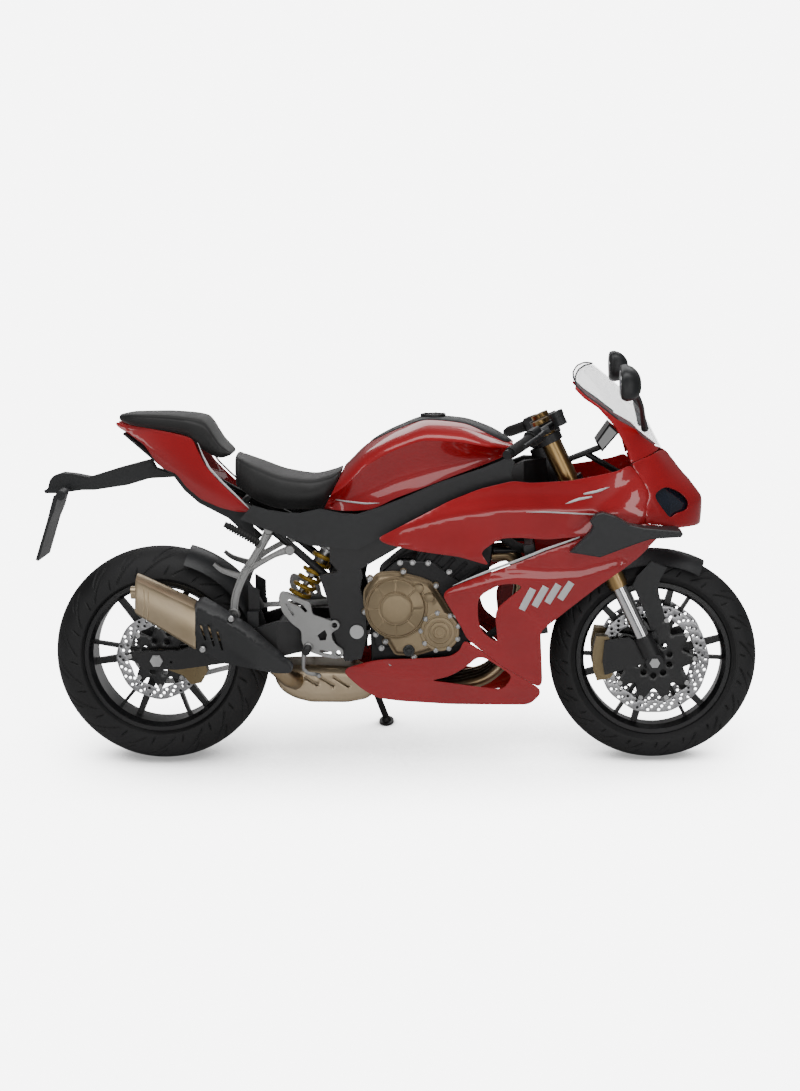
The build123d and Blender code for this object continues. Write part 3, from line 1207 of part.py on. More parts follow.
# The seat rails with the lugs that carry the tail's shell and the rider's seat.
SEAT_POST = (400.0, 82.0, 690.0, 745.2)
TAIL_POST = (170.0, 40.0, 751.7, 807.0)
with BuildPart() as tail_room:
    loft([section for section in tail_form(PANEL_WALL + RUNNING_GAP)], ruled=True)
with BuildPart() as tail_lugs:
    rod((250, -160, 758), (250, 160, 758), 9)
    rod((30, -90, 890), (30, 90, 890), 9)
    add(tail_room.part, mode=Mode.INTERSECT)
with BuildPart() as seat_rails:
    add(subframe.part)
    add(tail_lugs.part)
    post_x, post_y, post_low, post_high = SEAT_POST
    for side in (1, -1):
        rod((post_x, side * post_y, post_low), (post_x, side * post_y, post_high), 8)
    post_x, post_y, post_low, post_high = TAIL_POST
    rod((post_x, -RAIL_Y * 0.77, post_high), (post_x, RAIL_Y * 0.77, post_high), 8)
    for side in (1, -1):
        rod((post_x, side * post_y, post_low), (post_x, side * post_y, post_high), 8)
keep(seat_rails, "subframe")


# Covers along the frame beams and under the seat, one thin moulding a side.
COVER_WALL = 4.0
SIDE_COVER = [
    (287, 765), (249, 724), (335, 692), (449, 648), (586, 636), (638, 664), (707, 702), (850, 776), (936, 810),
    (1029, 832), (1024, 853), (1035, 884), (1015, 896), (993, 887), (936, 865), (822, 828), (708, 780), (651, 758),
    (585, 738), (540, 741), (480, 754), (422, 742), (379, 744), (330, 752),
]
with BuildPart() as side_covers:
    for side in (1, -1):
        start = side * (PLATE_OUTER + RUNNING_GAP)
        plate(SIDE_COVER, start, start + side * COVER_WALL)
keep(side_covers, "side_covers")

# Winglets: a duct on each flank of the nose.
WINGLET = [
    (1187, 640), (1243, 696), (1251, 713), (1243, 727), (1260, 747), (1279, 752), (1313, 741), (1354, 716),
    (1396, 707), (1493, 698), (1502, 690), (1496, 681), (1410, 676), (1368, 662), (1271, 626),
]
WINGLET_OUTER = 262.0
with BuildPart() as winglets:
    plate(WINGLET, -150, -WINGLET_OUTER)
    chamfer(winglets.faces().sort_by(Axis.Y)[0].edges(), length=3)
    add(fairing_solid.part, mode=Mode.SUBTRACT)
    mirror(about=Plane.XZ)
keep(winglets, "winglets")

DASH = [(1266, 931), (1304, 984), (1332, 958), (1284, 903)]
DASH_HALF_WIDTH = 78.0
with BuildPart() as dash:
    plate(DASH, DASH_HALF_WIDTH, -DASH_HALF_WIDTH)
    chamfer(dash.edges().filter_by(Axis.Y, reverse=True).group_by(Axis.Y)[0], length=5)
    chamfer(dash.edges().filter_by(Axis.Y, reverse=True).group_by(Axis.Y)[-1], length=5)
keep(dash, "dash")

# Mirrors: a pod on a stem from each side of the screen's foot.
MIRROR_AT = (1322.0, 362.0, 1122.0)
MIRROR_BACK = (150.0, 92.0)
MIRROR_FRONT = (96.0, 48.0)
MIRROR_DEPTH = 56.0
STEM_FOOT = Vector(1404.4, 90.4, 970.1)
STEM_RADIUS_MIRROR = 8.0
with BuildPart() as mirrors:
    for side in (1, -1):
        x, y, z = MIRROR_AT
        for depth, (wide, tall) in ((0, MIRROR_BACK), (MIRROR_DEPTH * 0.55, MIRROR_BACK), (MIRROR_DEPTH, MIRROR_FRONT)):
            with BuildSketch(Plane(origin=(x + depth, side * y, z), x_dir=(0, 1, 0), z_dir=(1, 0, 0))):
                RectangleRounded(wide - 4 * (depth == 0), tall - 4 * (depth == 0), 22)
        loft(ruled=True)
        foot = Vector(STEM_FOOT.X, side * STEM_FOOT.Y, STEM_FOOT.Z)
        elbow = Vector(1366, side * 292, 1084)
        rod(foot, elbow, STEM_RADIUS_MIRROR)
        rod(elbow, (x + 26, side * (y - 40), z - 20), STEM_RADIUS_MIRROR)
keep(mirrors, "mirrors")

# Foot controls: cast plates stood off the frame, with rests, and the passenger's hangers behind.
HEEL_PLATE = [
    (360, 494), (363, 518), (372, 522), (409, 503), (454, 485), (470, 448), (520, 434), (530, 420), (520, 408),
    (505, 398), (520, 368), (545, 350), (544, 336), (523, 322), (489, 328), (452, 343), (430, 352), (424, 372),
    (424, 407), (390, 431), (368, 460),
]
HEEL_BOLTS = [(516.0, 421.0), (533.0, 343.0)]
HEEL_PLATE_Y = 166.0
HEEL_PLATE_WALL = 6.0
PEG_AT = (442.0, 358.0)
PEG_END = 252.0
with BuildPart() as heel_plates:
    for side in (1, -1):
        plate(HEEL_PLATE, side * HEEL_PLATE_Y, side * (HEEL_PLATE_Y + HEEL_PLATE_WALL))
        for x, z in HEEL_BOLTS:
            rod((x, side * (PLATE_OUTER + RUNNING_GAP), z), (x, side * HEEL_PLATE_Y, z), 8)
        start = HEEL_PLATE_Y + HEEL_PLATE_WALL
        rod((PEG_AT[0], side * start, PEG_AT[1]), (PEG_AT[0], side * PEG_END, PEG_AT[1]), 11)
        plate([(420, 352), (436, 352), (434, 296), (474, 286), (474, 276), (412, 282)], side * start, side * (start + 8))
        rod((470, side * start, 281), (470, side * (start + 40), 281), 7)
keep(heel_plates, "heel_plates")

HANGER = [
    (318, 662), (322, 698), (340, 698), (350, 640), (376, 640), (398, 646), (398, 622), (388, 606), (311, 588),
    (261, 555), (248, 515), (246, 462), (236, 436), (214, 436), (206, 462), (204, 535), (195, 550), (164, 590),
    (170, 599), (235, 568), (262, 590), (298, 640),
]
HANGER_BOLTS = [(331.0, 686.0, 90.0), (388.0, 632.0, 92.0)]
HANGER_INNER = 126.0
HANGER_WALL = 8.0
MUFFLER_BOLT = (225.0, 447.0)
with BuildPart() as pillion_hangers:
    for side in (1, -1):
        plate(HANGER, side * HANGER_INNER, side * (HANGER_INNER + HANGER_WALL))
        for x, z, rail in HANGER_BOLTS:
            rod((x, side * (rail + RAIL_RADIUS + 1), z), (x, side * HANGER_INNER, z), 7)
        peg_foot, peg_tip = Vector(302, side * 143, 656), Vector(208, side * 152, 712)
        rod((306, side * (HANGER_INNER + 2), 650), peg_foot, 6)
        rod(peg_foot, peg_tip, 9)
    x, z = MUFFLER_BOLT
    rod((x, -HANGER_INNER - HANGER_WALL, z), (x, MUFFLER_INNER + RUNNING_GAP, z), 7)
keep(pillion_hangers, "pillion_hangers")

# Plate holder: an arm behind the tail with the lamp pod, the plate's flap and the tail lamp.
ARM_OUTLINE = [
    (55, 834), (30, 846), (-8, 858), (-23, 884), (-112, 861), (-201, 834), (-244, 843), (-282, 847), (-309, 838),
    (-318, 827), (-326, 800), (-337, 796), (-332, 788), (-290, 788), (-225, 797), (-187, 797), (-90, 811), (-25, 830),
]
FLAP_OUTLINE = [(-296, 788), (-282, 788), (-296, 742), (-311, 708), (-346, 598), (-354, 602), (-318, 712)]
PLATE_HALF_WIDTH = 90.0
with BuildPart() as plate_holder:
    plate(ARM_OUTLINE, 24, -24)
    add(tail_under.part, mode=Mode.SUBTRACT)
    plate(FLAP_OUTLINE, PLATE_HALF_WIDTH, -PLATE_HALF_WIDTH)
    for side in (1, -1):
        # Rear turn signals on short stalks.
        rod((-262, side * 20, 806), (-262, side * 112, 800), 6)
        rod((-262, side * 108, 800), (-262, side * 160, 797), 14)
keep(plate_holder, "plate_holder")
with BuildPart() as tail_lamp:
    plate([(-298, 740), (-312, 706), (-322, 716), (-306, 746)], 34, -34)
    add(plate_holder.part, mode=Mode.SUBTRACT)
keep(tail_lamp, "tail_lamp")

# Side stand, down and resting on its forward stop; it folds back beside the swingarm.
lean = math.radians(LEAN)
floor_up = Vector(0, -math.sin(lean), math.cos(lean))
tyre_rise = 0.93 * REAR_TYRE_WIDTH / 2
tyre_crown = ((REAR_TYRE_WIDTH / 2) ** 2 + tyre_rise**2) / 2 / tyre_rise
floor_level = -tyre_crown * (1 - math.cos(lean))
STAND_PIVOT = Vector(572, 172, 270)
STAND_FOOT_X = 640.0
STAND_FOOT_Y = 264.0
STAND_LEG_RADIUS = 10.0
STAND_HUB = 11.0
STAND_FOLDED = Vector(-0.985, 0.03, -0.17)
foot_height = (floor_level + STAND_FOOT_Y * math.sin(lean)) / math.cos(lean)
stand_foot = Vector(STAND_FOOT_X, STAND_FOOT_Y, foot_height)
stand_axis = (stand_foot - STAND_PIVOT).cross(STAND_FOLDED).normalized()
with BuildPart() as side_stand:
    rod(STAND_PIVOT, stand_foot + floor_up * 12, STAND_LEG_RADIUS)
    rod(STAND_PIVOT - stand_axis * STAND_HUB, STAND_PIVOT + stand_axis * STAND_HUB, 17)
    with BuildSketch(Plane(origin=stand_foot, z_dir=floor_up)):
        Ellipse(34, 22)
    extrude(amount=7)
    with BuildSketch(Plane(origin=stand_foot + floor_up * 6, z_dir=floor_up)):
        Circle(16)
    extrude(amount=12, taper=25)
keep(side_stand, "side_stand")

# The frame's own lugs: the stand's bracket and the stay to the dash and both lamps.
with BuildPart() as framework:
    add(main_frame.part)
    start = STAND_PIVOT - stand_axis * (STAND_HUB + RUNNING_GAP)
    rod(start, start - stand_axis * 16, 20)
    plate([(548, 345), (592, 345), (594, 252), (552, 252)], PLATE_OUTER - 1, PLATE_OUTER + 5)
    rod((1172, 0, 868), (1296, 0, 916), 9)
    rod((1240, 0, 892), (1448, 0, 770), 9)
    rod((1448, -LAMP_BACK + RUNNING_GAP, 770), (1448, LAMP_BACK - RUNNING_GAP, 770), 9)
    for side in (1, -1):
        rod((930, side * 100, 800), (930, side * 100, 863.7), 10)
    add(dash.part, mode=Mode.SUBTRACT)
keep(framework, "main_frame")


# Parking: lean onto the side stand, then put the middle of the footprint at the origin.
lean_move = Location((0, 0, 0), (-LEAN, 0, 0))
leaned = Compound(children=[piece.moved(lean_move) for piece in pieces.values()])
box = leaned.bounding_box()
shift = Vector(-(box.min.X + box.max.X) / 2, -(box.min.Y + box.max.Y) / 2, -box.min.Z)
parking = Location(shift) * lean_move
for label, piece in pieces.items():
    parked = piece.moved(parking)
    parked.label = label
    export_step(parked, f"parts/{label}.step")

steering_at = fork_point(0, forward=-YOKE_OFFSET)
cap_hinge = Vector(CAP_HINGE[0], 0, CAP_HINGE[1])
for name, spot, axis in (
    ("front_wheel", Vector(*front_axle_at), Vector(0, 1, 0)),
    ("rear_wheel", Vector(*rear_axle_at), Vector(0, 1, 0)),
    ("steering", steering_at, fork_up),
    ("side_stand", STAND_PIVOT, stand_axis),
    ("fuel_cap", cap_hinge, Vector(0, 1, 0)),
    ("stand_bobbin_left", Vector(BOBBIN_AT[0], ARM_SECTIONS[-1][2], BOBBIN_AT[1]), Vector(0, 1, 0)),
    ("stand_bobbin_right", Vector(BOBBIN_AT[0], -ARM_SECTIONS[-1][2], BOBBIN_AT[1]), Vector(0, -1, 0)),
):
    place = parking * Location(spot)
    turned = (lean_move * Location(axis)).position
    print(name, [round(v, 4) for v in place.position], [round(v, 6) for v in turned])
print("shift", shift.X, shift.Y, shift.Z, "size", box.size)
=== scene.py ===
import math

import bmesh
import bpy
import numpy as np
from mathutils import Matrix, Vector
from mathutils.geometry import delaunay_2d_cdt


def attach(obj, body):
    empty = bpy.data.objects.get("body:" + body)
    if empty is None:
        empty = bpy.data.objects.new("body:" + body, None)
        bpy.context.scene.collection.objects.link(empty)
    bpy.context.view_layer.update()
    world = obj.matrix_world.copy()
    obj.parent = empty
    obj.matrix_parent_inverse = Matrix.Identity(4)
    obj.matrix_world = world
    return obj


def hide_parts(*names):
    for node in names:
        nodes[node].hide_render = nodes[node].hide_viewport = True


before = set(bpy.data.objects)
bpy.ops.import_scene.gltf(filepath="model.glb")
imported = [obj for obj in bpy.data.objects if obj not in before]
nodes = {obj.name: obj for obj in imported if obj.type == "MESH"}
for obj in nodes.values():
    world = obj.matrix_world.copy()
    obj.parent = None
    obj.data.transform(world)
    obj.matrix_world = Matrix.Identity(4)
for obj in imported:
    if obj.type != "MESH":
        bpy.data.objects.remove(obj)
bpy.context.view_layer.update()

# The camera stands at the photograph's viewing angle, far off with a long lens, nearly square to
# the bike's right side and a little above it. The bike leans on its stand, and the camera is
# carried over with it, so the bike fills the frame as it does in the photograph.
LEAN = math.radians(10)
SHIFT = np.array([-0.6892, -0.1948333, 0.0013709])


def parked(points):
    """Upright bike millimetres to parked metres: y' = y cos a + z sin a, z' = z cos a - y sin a, then the
    shift."""
    p = np.asarray(points, float) / 1000
    y = p[..., 1] * math.cos(LEAN) + p[..., 2] * math.sin(LEAN)
    z = p[..., 2] * math.cos(LEAN) - p[..., 1] * math.sin(LEAN)
    return np.stack([p[..., 0], y, z], -1) + SHIFT


def parked_way(direction):
    """A direction of the upright bike, as it points once the bike is parked."""
    return Vector(parked(direction) - parked((0, 0, 0))).normalized()


CAMERA_AT = (1016.0, -6783.0, 1572.0)
CAMERA_YAW, CAMERA_PITCH, CAMERA_ROLL = math.radians(2.67), math.radians(7.93), math.radians(-0.66)
SENSOR_MM = 36.0
FOCAL_PX, LONG_SIDE_PX = 2353.0, 1091.0
level = Vector((math.cos(CAMERA_YAW), math.sin(CAMERA_YAW), 0))
onward = Vector((-math.sin(CAMERA_YAW), math.cos(CAMERA_YAW), 0))
ahead = onward * math.cos(CAMERA_PITCH) - Vector((0, 0, math.sin(CAMERA_PITCH)))
above = level.cross(ahead)
right = level * math.cos(CAMERA_ROLL) + above * math.sin(CAMERA_ROLL)
above = above * math.cos(CAMERA_ROLL) - level * math.sin(CAMERA_ROLL)
camera_data = bpy.data.cameras.new("camera")
camera_data.lens = FOCAL_PX * SENSOR_MM / LONG_SIDE_PX
camera_data.sensor_width = SENSOR_MM
camera_data.clip_end = 100
camera = bpy.data.objects.new("camera", camera_data)
bpy.context.scene.collection.objects.link(camera)
facing = Matrix([parked_way(way * 1000) for way in (right, above, -ahead)]).transposed().to_4x4()
camera.matrix_world = Matrix.Translation(Vector(parked(CAMERA_AT))) @ facing
bpy.context.scene.camera = camera


# The studio: a plain white floor and surround, as in a product picture. A wide soft light hangs
# above, a low one stands in front of the bike's right side, and two upright strips draw the long
# highlights on the paint. The white that the camera sees is brighter than the light it throws.
SEEN_WHITE = 7.0
THROWN_LIGHT = 0.13


def studio_light(name, place, aim, size, watts):
    """A rectangular lamp that faces its aim."""
    data = bpy.data.lights.new(name, "AREA")
    data.shape, data.energy = "RECTANGLE", watts
    data.size, data.size_y = size
    light = bpy.data.objects.new(name, data)
    bpy.context.scene.collection.objects.link(light)
    light.location = place
    light.rotation_mode = "QUATERNION"
    light.rotation_quaternion = (Vector(aim) - Vector(place)).to_track_quat("-Z", "Y")


studio_light("overhead", (0.1, -0.5, 3.2), (0.0, 0.0, 0.5), (4.2, 1.3), 60)
studio_light("front_fill", (0.6, -5.0, 1.3), (0.0, 0.0, 0.5), (4.8, 0.9), 42)
studio_light("nose_strip", (3.0, -2.6, 1.6), (0.5, 0.0, 0.7), (0.5, 2.4), 18)
studio_light("tail_strip", (-3.2, -2.2, 1.6), (-0.5, 0.0, 0.7), (0.5, 2.4), 15)
studio_light("far_side", (0.0, 3.6, 2.4), (0.0, 0.0, 0.6), (4.0, 1.2), 36)

def preset(node, values):
    """Sets a node's own sockets by their labels."""
    for label, value in values.items():
        node.inputs[label].default_value = value


world = bpy.data.worlds.new("studio")
world.use_nodes = True
sky = world.node_tree
surround = sky.nodes["Background"]
seen_first = sky.nodes.new("ShaderNodeLightPath")
level_of_white = sky.nodes.new("ShaderNodeMapRange")
preset(level_of_white, {"To Min": THROWN_LIGHT, "To Max": SEEN_WHITE})
sky.links.new(seen_first.outputs["Is Camera Ray"], level_of_white.inputs["Value"])
sky.links.new(level_of_white.outputs[0], surround.inputs["Strength"])
surround.inputs["Color"].default_value = (1.0, 1.0, 1.0, 1)
bpy.context.scene.world = world

floor_mesh = bpy.data.meshes.new("floor")
reach = 80.0
floor_mesh.from_pydata(
    [(-reach, -reach, 0), (reach, -reach, 0), (reach, reach, 0), (-reach, reach, 0)], [], [(0, 1, 2, 3)]
)
floor = bpy.data.objects.new("floor", floor_mesh)
bpy.context.scene.collection.objects.link(floor)
pale = bpy.data.materials.new("white_floor")
pale.use_nodes = True
tree = pale.node_tree
matt = tree.nodes["Principled BSDF"]
preset(matt, {"Base Color": (0.80, 0.80, 0.80, 1), "Roughness": 1.0, "Specular IOR Level": 0.0})
# Under the tyres, ambient occlusion dims the white that the camera sees where the bike stands close
# above: a painted soft contact shadow, not one cast by the lamps.
shade, shade_ramp = tree.nodes.new("ShaderNodeAmbientOcclusion"), tree.nodes.new("ShaderNodeMapRange")
shade.inputs["Distance"].default_value = 0.55
shade.samples = 12
preset(shade_ramp, {"From Min": 0.25, "From Max": 0.97, "To Min": 0.05 * SEEN_WHITE, "To Max": SEEN_WHITE})
shade_ramp.interpolation_type = "SMOOTHSTEP"
glow, choose, first_ray = (
    tree.nodes.new(kind) for kind in ("ShaderNodeEmission", "ShaderNodeMixShader", "ShaderNodeLightPath")
)
tree.links.new(shade.outputs["AO"], shade_ramp.inputs["Value"])
tree.links.new(shade_ramp.outputs[0], glow.inputs["Strength"])
tree.links.new(first_ray.outputs["Is Camera Ray"], choose.inputs[0])
tree.links.new(matt.outputs[0], choose.inputs[1])
tree.links.new(glow.outputs[0], choose.inputs[2])
tree.links.new(choose.outputs[0], tree.nodes["Material Output"].inputs["Surface"])
floor_mesh.materials.append(pale)


# Tyres: road radials of black rubber, pressed onto the rims over both beads. The crown is a near
# half round with slanted drain grooves moulded in, thinner towards the edge, and each wall has
# raised rings where the mould's plates meet. Rubber, like paint and castings, has a fine speckle
# that varies its gloss and tone.
def new_group(name, inputs, outputs):
    """A node group with its input and output nodes."""
    group = bpy.data.node_groups.new(name, "ShaderNodeTree")
    for label, value in inputs:
        socket = group.interface.new_socket(label, in_out="INPUT", socket_type="NodeSocketFloat")
        socket.default_value = value
    for label, kind in outputs:
        group.interface.new_socket(label, in_out="OUTPUT", socket_type=kind)
    return group, group.nodes.new("NodeGroupInput"), group.nodes.new("NodeGroupOutput")


speckle, s_in, s_out = new_group(
    "speckle",
    [("Scale", 400.0), ("Cloud Scale", 6.0), ("Low", 0.3), ("High", 0.5), ("Depth", 0.1)],
    [("Gloss", "NodeSocketFloat"), ("Tone", "NodeSocketFloat"), ("Normal", "NodeSocketVector")],
)
where = speckle.nodes.new("ShaderNodeTexCoord")
fine, cloud = speckle.nodes.new("ShaderNodeTexNoise"), speckle.nodes.new("ShaderNodeTexNoise")
fine.inputs["Detail"].default_value = 3
cloud.inputs["Detail"].default_value = 5
blend = speckle.nodes.new("ShaderNodeMapRange")
relief = speckle.nodes.new("ShaderNodeBump")
relief.inputs["Distance"].default_value = 0.0006
link = speckle.links.new
link(where.outputs["Object"], fine.inputs["Vector"])
link(where.outputs["Object"], cloud.inputs["Vector"])
link(s_in.outputs["Scale"], fine.inputs["Scale"])
link(s_in.outputs["Cloud Scale"], cloud.inputs["Scale"])
link(cloud.outputs[0], blend.inputs["Value"])
link(s_in.outputs["Low"], blend.inputs["To Min"])
link(s_in.outputs["High"], blend.inputs["To Max"])
preset(blend, {"From Min": 0.3, "From Max": 0.7})
link(fine.outputs[0], relief.inputs["Height"])
link(s_in.outputs["Depth"], relief.inputs["Strength"])
link(blend.outputs[0], s_out.inputs["Gloss"])
link(cloud.outputs[0], s_out.inputs["Tone"])
link(relief.outputs[0], s_out.inputs["Normal"])


def finish(
    slot, name, tones, gloss, metal=0.0, coat=0.0, coat_gloss=0.05, grain=400.0, depth=0.1, cloud_size=6.0,
    sheen=0.0
):
    """A material and its slot: colour and roughness drift between two tones over a fine grain."""
    material = bpy.data.materials.new(name)
    material.use_nodes = True
    tree = material.node_tree
    shader = tree.nodes["Principled BSDF"]
    preset(
        shader, {"Metallic": metal, "Coat Weight": coat, "Coat Roughness": coat_gloss, "Sheen Weight": sheen}
    )
    use = tree.nodes.new("ShaderNodeGroup")
    use.node_tree = speckle
    for label, value in (
        ("Scale", grain), ("Cloud Scale", cloud_size), ("Low", gloss[0]), ("High", gloss[1]), ("Depth", depth)
    ):
        use.inputs[label].default_value = value
    tint = tree.nodes.new("ShaderNodeValToRGB")
    tint.color_ramp.elements[0].position, tint.color_ramp.elements[1].position = 0.35, 0.65
    tint.color_ramp.elements[0].color = (*tones[0], 1)
    tint.color_ramp.elements[1].color = (*tones[1], 1)
    tree.links.new(use.outputs["Tone"], tint.inputs["Fac"])
    tree.links.new(tint.outputs["Color"], shader.inputs["Base Color"])
    tree.links.new(use.outputs["Gloss"], shader.inputs["Roughness"])
    tree.links.new(use.outputs["Normal"], shader.inputs["Normal"])
    return material, slot


def fitted(name, mesh, material, body, stands_for=(), crisp=32.0):
    """Finishes a mesh as a piece: doubles merged, faces turned outwards, soft but for sharp edges, and tied
    to its body."""
    work = bmesh.new()
    work.from_mesh(mesh)
    bmesh.ops.remove_doubles(work, verts=work.verts, dist=1e-6)
    bmesh.ops.recalc_face_normals(work, faces=work.faces)
    work.to_mesh(mesh)
    work.free()
    mesh.shade_smooth()
    mesh.set_sharp_from_angle(angle=math.radians(crisp))
    mesh.materials.append(material)
    piece = bpy.data.objects.new(name, mesh)
    bpy.context.scene.collection.objects.link(piece)
    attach(piece, body)
    if stands_for:
        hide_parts(*stands_for)
    return piece


def grid_faces(rows, cols, wrap_rows, wrap_cols):
    """Quad (i, j) spans P(i..i+1, j..j+1), modulo the grid's size where it wraps."""
    i, j = np.meshgrid(np.arange(rows - (not wrap_rows)), np.arange(cols - (not wrap_cols)), indexing="ij")
    below, beside = (i + 1) % rows, (j + 1) % cols
    return np.stack(
        [i * cols + j, below * cols + j, below * cols + beside, i * cols + beside], -1
    ).reshape(-1, 4)


def joined(name, grids, material, slot, body, stands_for=(), crisp=32.0):
    """One piece from point grids, each with whether its rows and its columns wrap."""
    points, faces, start = [], [], 0
    for grid, wrap_rows, wrap_cols in grids:
        points.append(parked(grid).reshape(-1, 3))
        faces.append(grid_faces(*grid.shape[:2], wrap_rows, wrap_cols) + start)
        start += len(points[-1])
    mesh = bpy.data.meshes.new(name)
    mesh.from_pydata(np.concatenate(points).tolist(), [], np.concatenate(faces).tolist())
    return fitted(name, mesh, material, body, stands_for, crisp)


TYRE = finish(
    "tyre", "tyre_rubber", ((0.009, 0.009, 0.0095), (0.020, 0.020, 0.021)), (0.55, 0.72), grain=700, depth=0.3
)
FRONT_AXLE, REAR_AXLE = np.array([1432.5, 0.0, 299.9]), np.array([0.0, 0.0, 314.9])
RIM_RADIUS = 215.9
AROUND, ACROSS = 1080, 61
GROOVE_DEPTH, GROOVE_HALF_WIDTH = 3.4, 3.0
# Each groove family: start and end across the crown, as shares of it, slant, and shift round.
GROOVES = [(0.10, 0.66, 0.85, 0.0), (0.34, 0.95, 1.45, 0.36), (0.70, 0.97, 0.5, 0.70)]


def tread_depth(turn, across, crown, radius, repeats):
    """Sum over groove families of depth * clip(2 - 2 d / w, 0, 1), d the distance to the groove's slanted
    line, faded at both ends."""
    depth = np.zeros(np.broadcast(turn, across).shape)
    pitch = 2 * math.pi * radius / repeats
    for start, end, slant, shift in GROOVES:
        share = np.abs(across) / crown
        offset = np.where(across > 0, 0.5, 0.0) + shift
        run = turn * radius - np.abs(across) * slant - offset * pitch
        away = np.abs((run / pitch + 0.5) % 1 - 0.5) * pitch / math.hypot(1, slant)
        cut = np.clip(2 - 2 * away / GROOVE_HALF_WIDTH, 0, 1)
        depth = np.maximum(
            depth,
            GROOVE_DEPTH * cut * np.clip((share - start) * 14, 0, 1) * np.clip((end - share) * 14, 0, 1)
        )
    return depth


def tyre(name, centre, radius, half, bead, repeats, body, node):
    """Turns a section round the axle: crown y = c sin t, r = R - c + c cos t, walls bowed out by sin, beads
    and belly inside."""
    rise = 0.93 * half
    crown = (half**2 + rise**2) / 2 / rise
    widest = math.asin(half / crown)
    t = np.linspace(-widest, widest, ACROSS)
    tread = np.stack([crown * np.sin(t), radius - crown + crown * np.cos(t)])
    k = np.linspace(0, 1, 12)[1:]
    shoulder, lip = radius - rise, RIM_RADIUS + 7
    bow = 3.0 * np.sin(k * math.pi) + 0.9 * (np.abs(k - 0.30) < 0.06) + 1.2 * (np.abs(k - 0.86) < 0.07)
    wall = np.stack([half + (bead - half) * k + bow, shoulder + (lip - shoulder) * k])
    foot = RIM_RADIUS + 0.3
    across = [bead, bead - 9, half - 9, 0, 9 - half, 9 - bead, -bead]
    belly = np.array([across, [foot, foot, shoulder, radius - 9, shoulder, foot, foot]])
    other_wall = np.stack([-wall[0][::-1], wall[1][::-1]])
    section = np.concatenate([tread, wall, belly, other_wall], 1)
    turn = np.linspace(0, 2 * math.pi, AROUND, endpoint=False)[:, None]
    depth = np.zeros((AROUND, section.shape[1]))
    depth[:, :ACROSS] = tread_depth(turn, crown * t[None, :], crown * widest, radius, repeats)
    y = section[0] - depth * np.pad(np.sin(t), (0, section.shape[1] - ACROSS))
    r = section[1] - depth * np.pad(np.cos(t), (0, section.shape[1] - ACROSS))
    grid = np.stack([r * np.cos(turn), y, r * np.sin(turn)], -1) + centre
    return joined(name, [(grid, True, True)], *TYRE, body, [node], crisp=24)


tyre(
    "front_road_tyre", FRONT_AXLE, radius=299.9, half=60.0, bead=44.5, repeats=20, body="front_wheel_body",
    node="front_tyre"
)
tyre(
    "rear_road_tyre", REAR_AXLE, radius=314.9, half=90.0, bead=70.0, repeats=18, body="rear_wheel_body",
    node="rear_tyre"
)


# Wheels and final drive: cast wheels with paired spokes in black enamel on steel axles, and a
# chain over toothed steel sprockets. Their shapes are the CAD's own.
def dressed(look, *names):
    """Gives CAD nodes that stay in view their material."""
    for name in names:
        nodes[name].data.materials.clear()
        nodes[name].data.materials.append(look[0])


WHEEL_BLACK = finish(
    "wheel_black", "wheel_enamel", ((0.008, 0.008, 0.009), (0.014, 0.014, 0.015)), (0.28, 0.38), coat=0.3,
    coat_gloss=0.2, grain=900, depth=0.08
)
STEEL = finish(
    "steel", "bright_steel", ((0.40, 0.40, 0.40), (0.55, 0.55, 0.55)), (0.26, 0.40), metal=1.0, grain=800,
    depth=0.1
)
dressed(WHEEL_BLACK, "front_wheel", "rear_wheel")
dressed(STEEL, "front_axle", "rear_axle", "pivot_bolt", "rear_sprocket", "chain", "shock_body")


# Fork and bars: bronze-anodised outer tubes over hard chrome, clamped in black yokes, with
# clip-on bars, rubber grips and moulded switchgear, and a mudguard on lugs at the feet.
GOLD_ALLOY = finish(
    "gold_alloy", "bronze_anodising", ((0.34, 0.22, 0.09), (0.44, 0.29, 0.13)), (0.26, 0.36), metal=1.0,
    grain=900, depth=0.05
)
CHROME = finish(
    "chrome", "hard_chrome", ((0.72, 0.72, 0.73), (0.80, 0.80, 0.81)), (0.08, 0.16), metal=1.0, grain=600,
    depth=0.02
)
FRAME_BLACK = finish(
    "frame_black", "frame_powder_coat", ((0.010, 0.010, 0.011), (0.018, 0.018, 0.019)), (0.34, 0.46),
    grain=1100, depth=0.2
)
SATIN_BLACK = finish(
    "satin_black", "dark_moulding", ((0.016, 0.017, 0.018), (0.026, 0.027, 0.029)), (0.38, 0.50), grain=1500,
    depth=0.25
)
GRIP_RUBBER = finish(
    "grip_rubber", "grip_rubber", ((0.010, 0.010, 0.010), (0.02, 0.02, 0.02)), (0.6, 0.75), grain=900,
    depth=0.4
)
dressed(GOLD_ALLOY, "fork_outer_tubes")
dressed(CHROME, "fork_inner_tubes")
dressed(FRAME_BLACK, "fork_feet", "yokes", "handlebars")
dressed(SATIN_BLACK, "controls", "front_fender")
dressed(GRIP_RUBBER, "grips")


# Frame and rear end: a powder-coated twin-spar frame, seat rails, swingarm, radiator and side
# stand, with moulded covers over the beams and a hugger over the tyre.
dressed(FRAME_BLACK, "main_frame", "subframe", "swingarm", "radiator", "side_stand")
dressed(SATIN_BLACK, "side_covers", "rear_hugger")


# Calipers: two-part castings in bronze anodising, bolted to the feet and to the rear hanger.
CALIPER_BRONZE = finish(
    "caliper_bronze", "caliper_bronze", ((0.20, 0.15, 0.08), (0.27, 0.21, 0.12)), (0.34, 0.46), metal=0.8,
    grain=800, depth=0.15
)
dressed(CALIPER_BRONZE, "front_calipers", "rear_caliper")


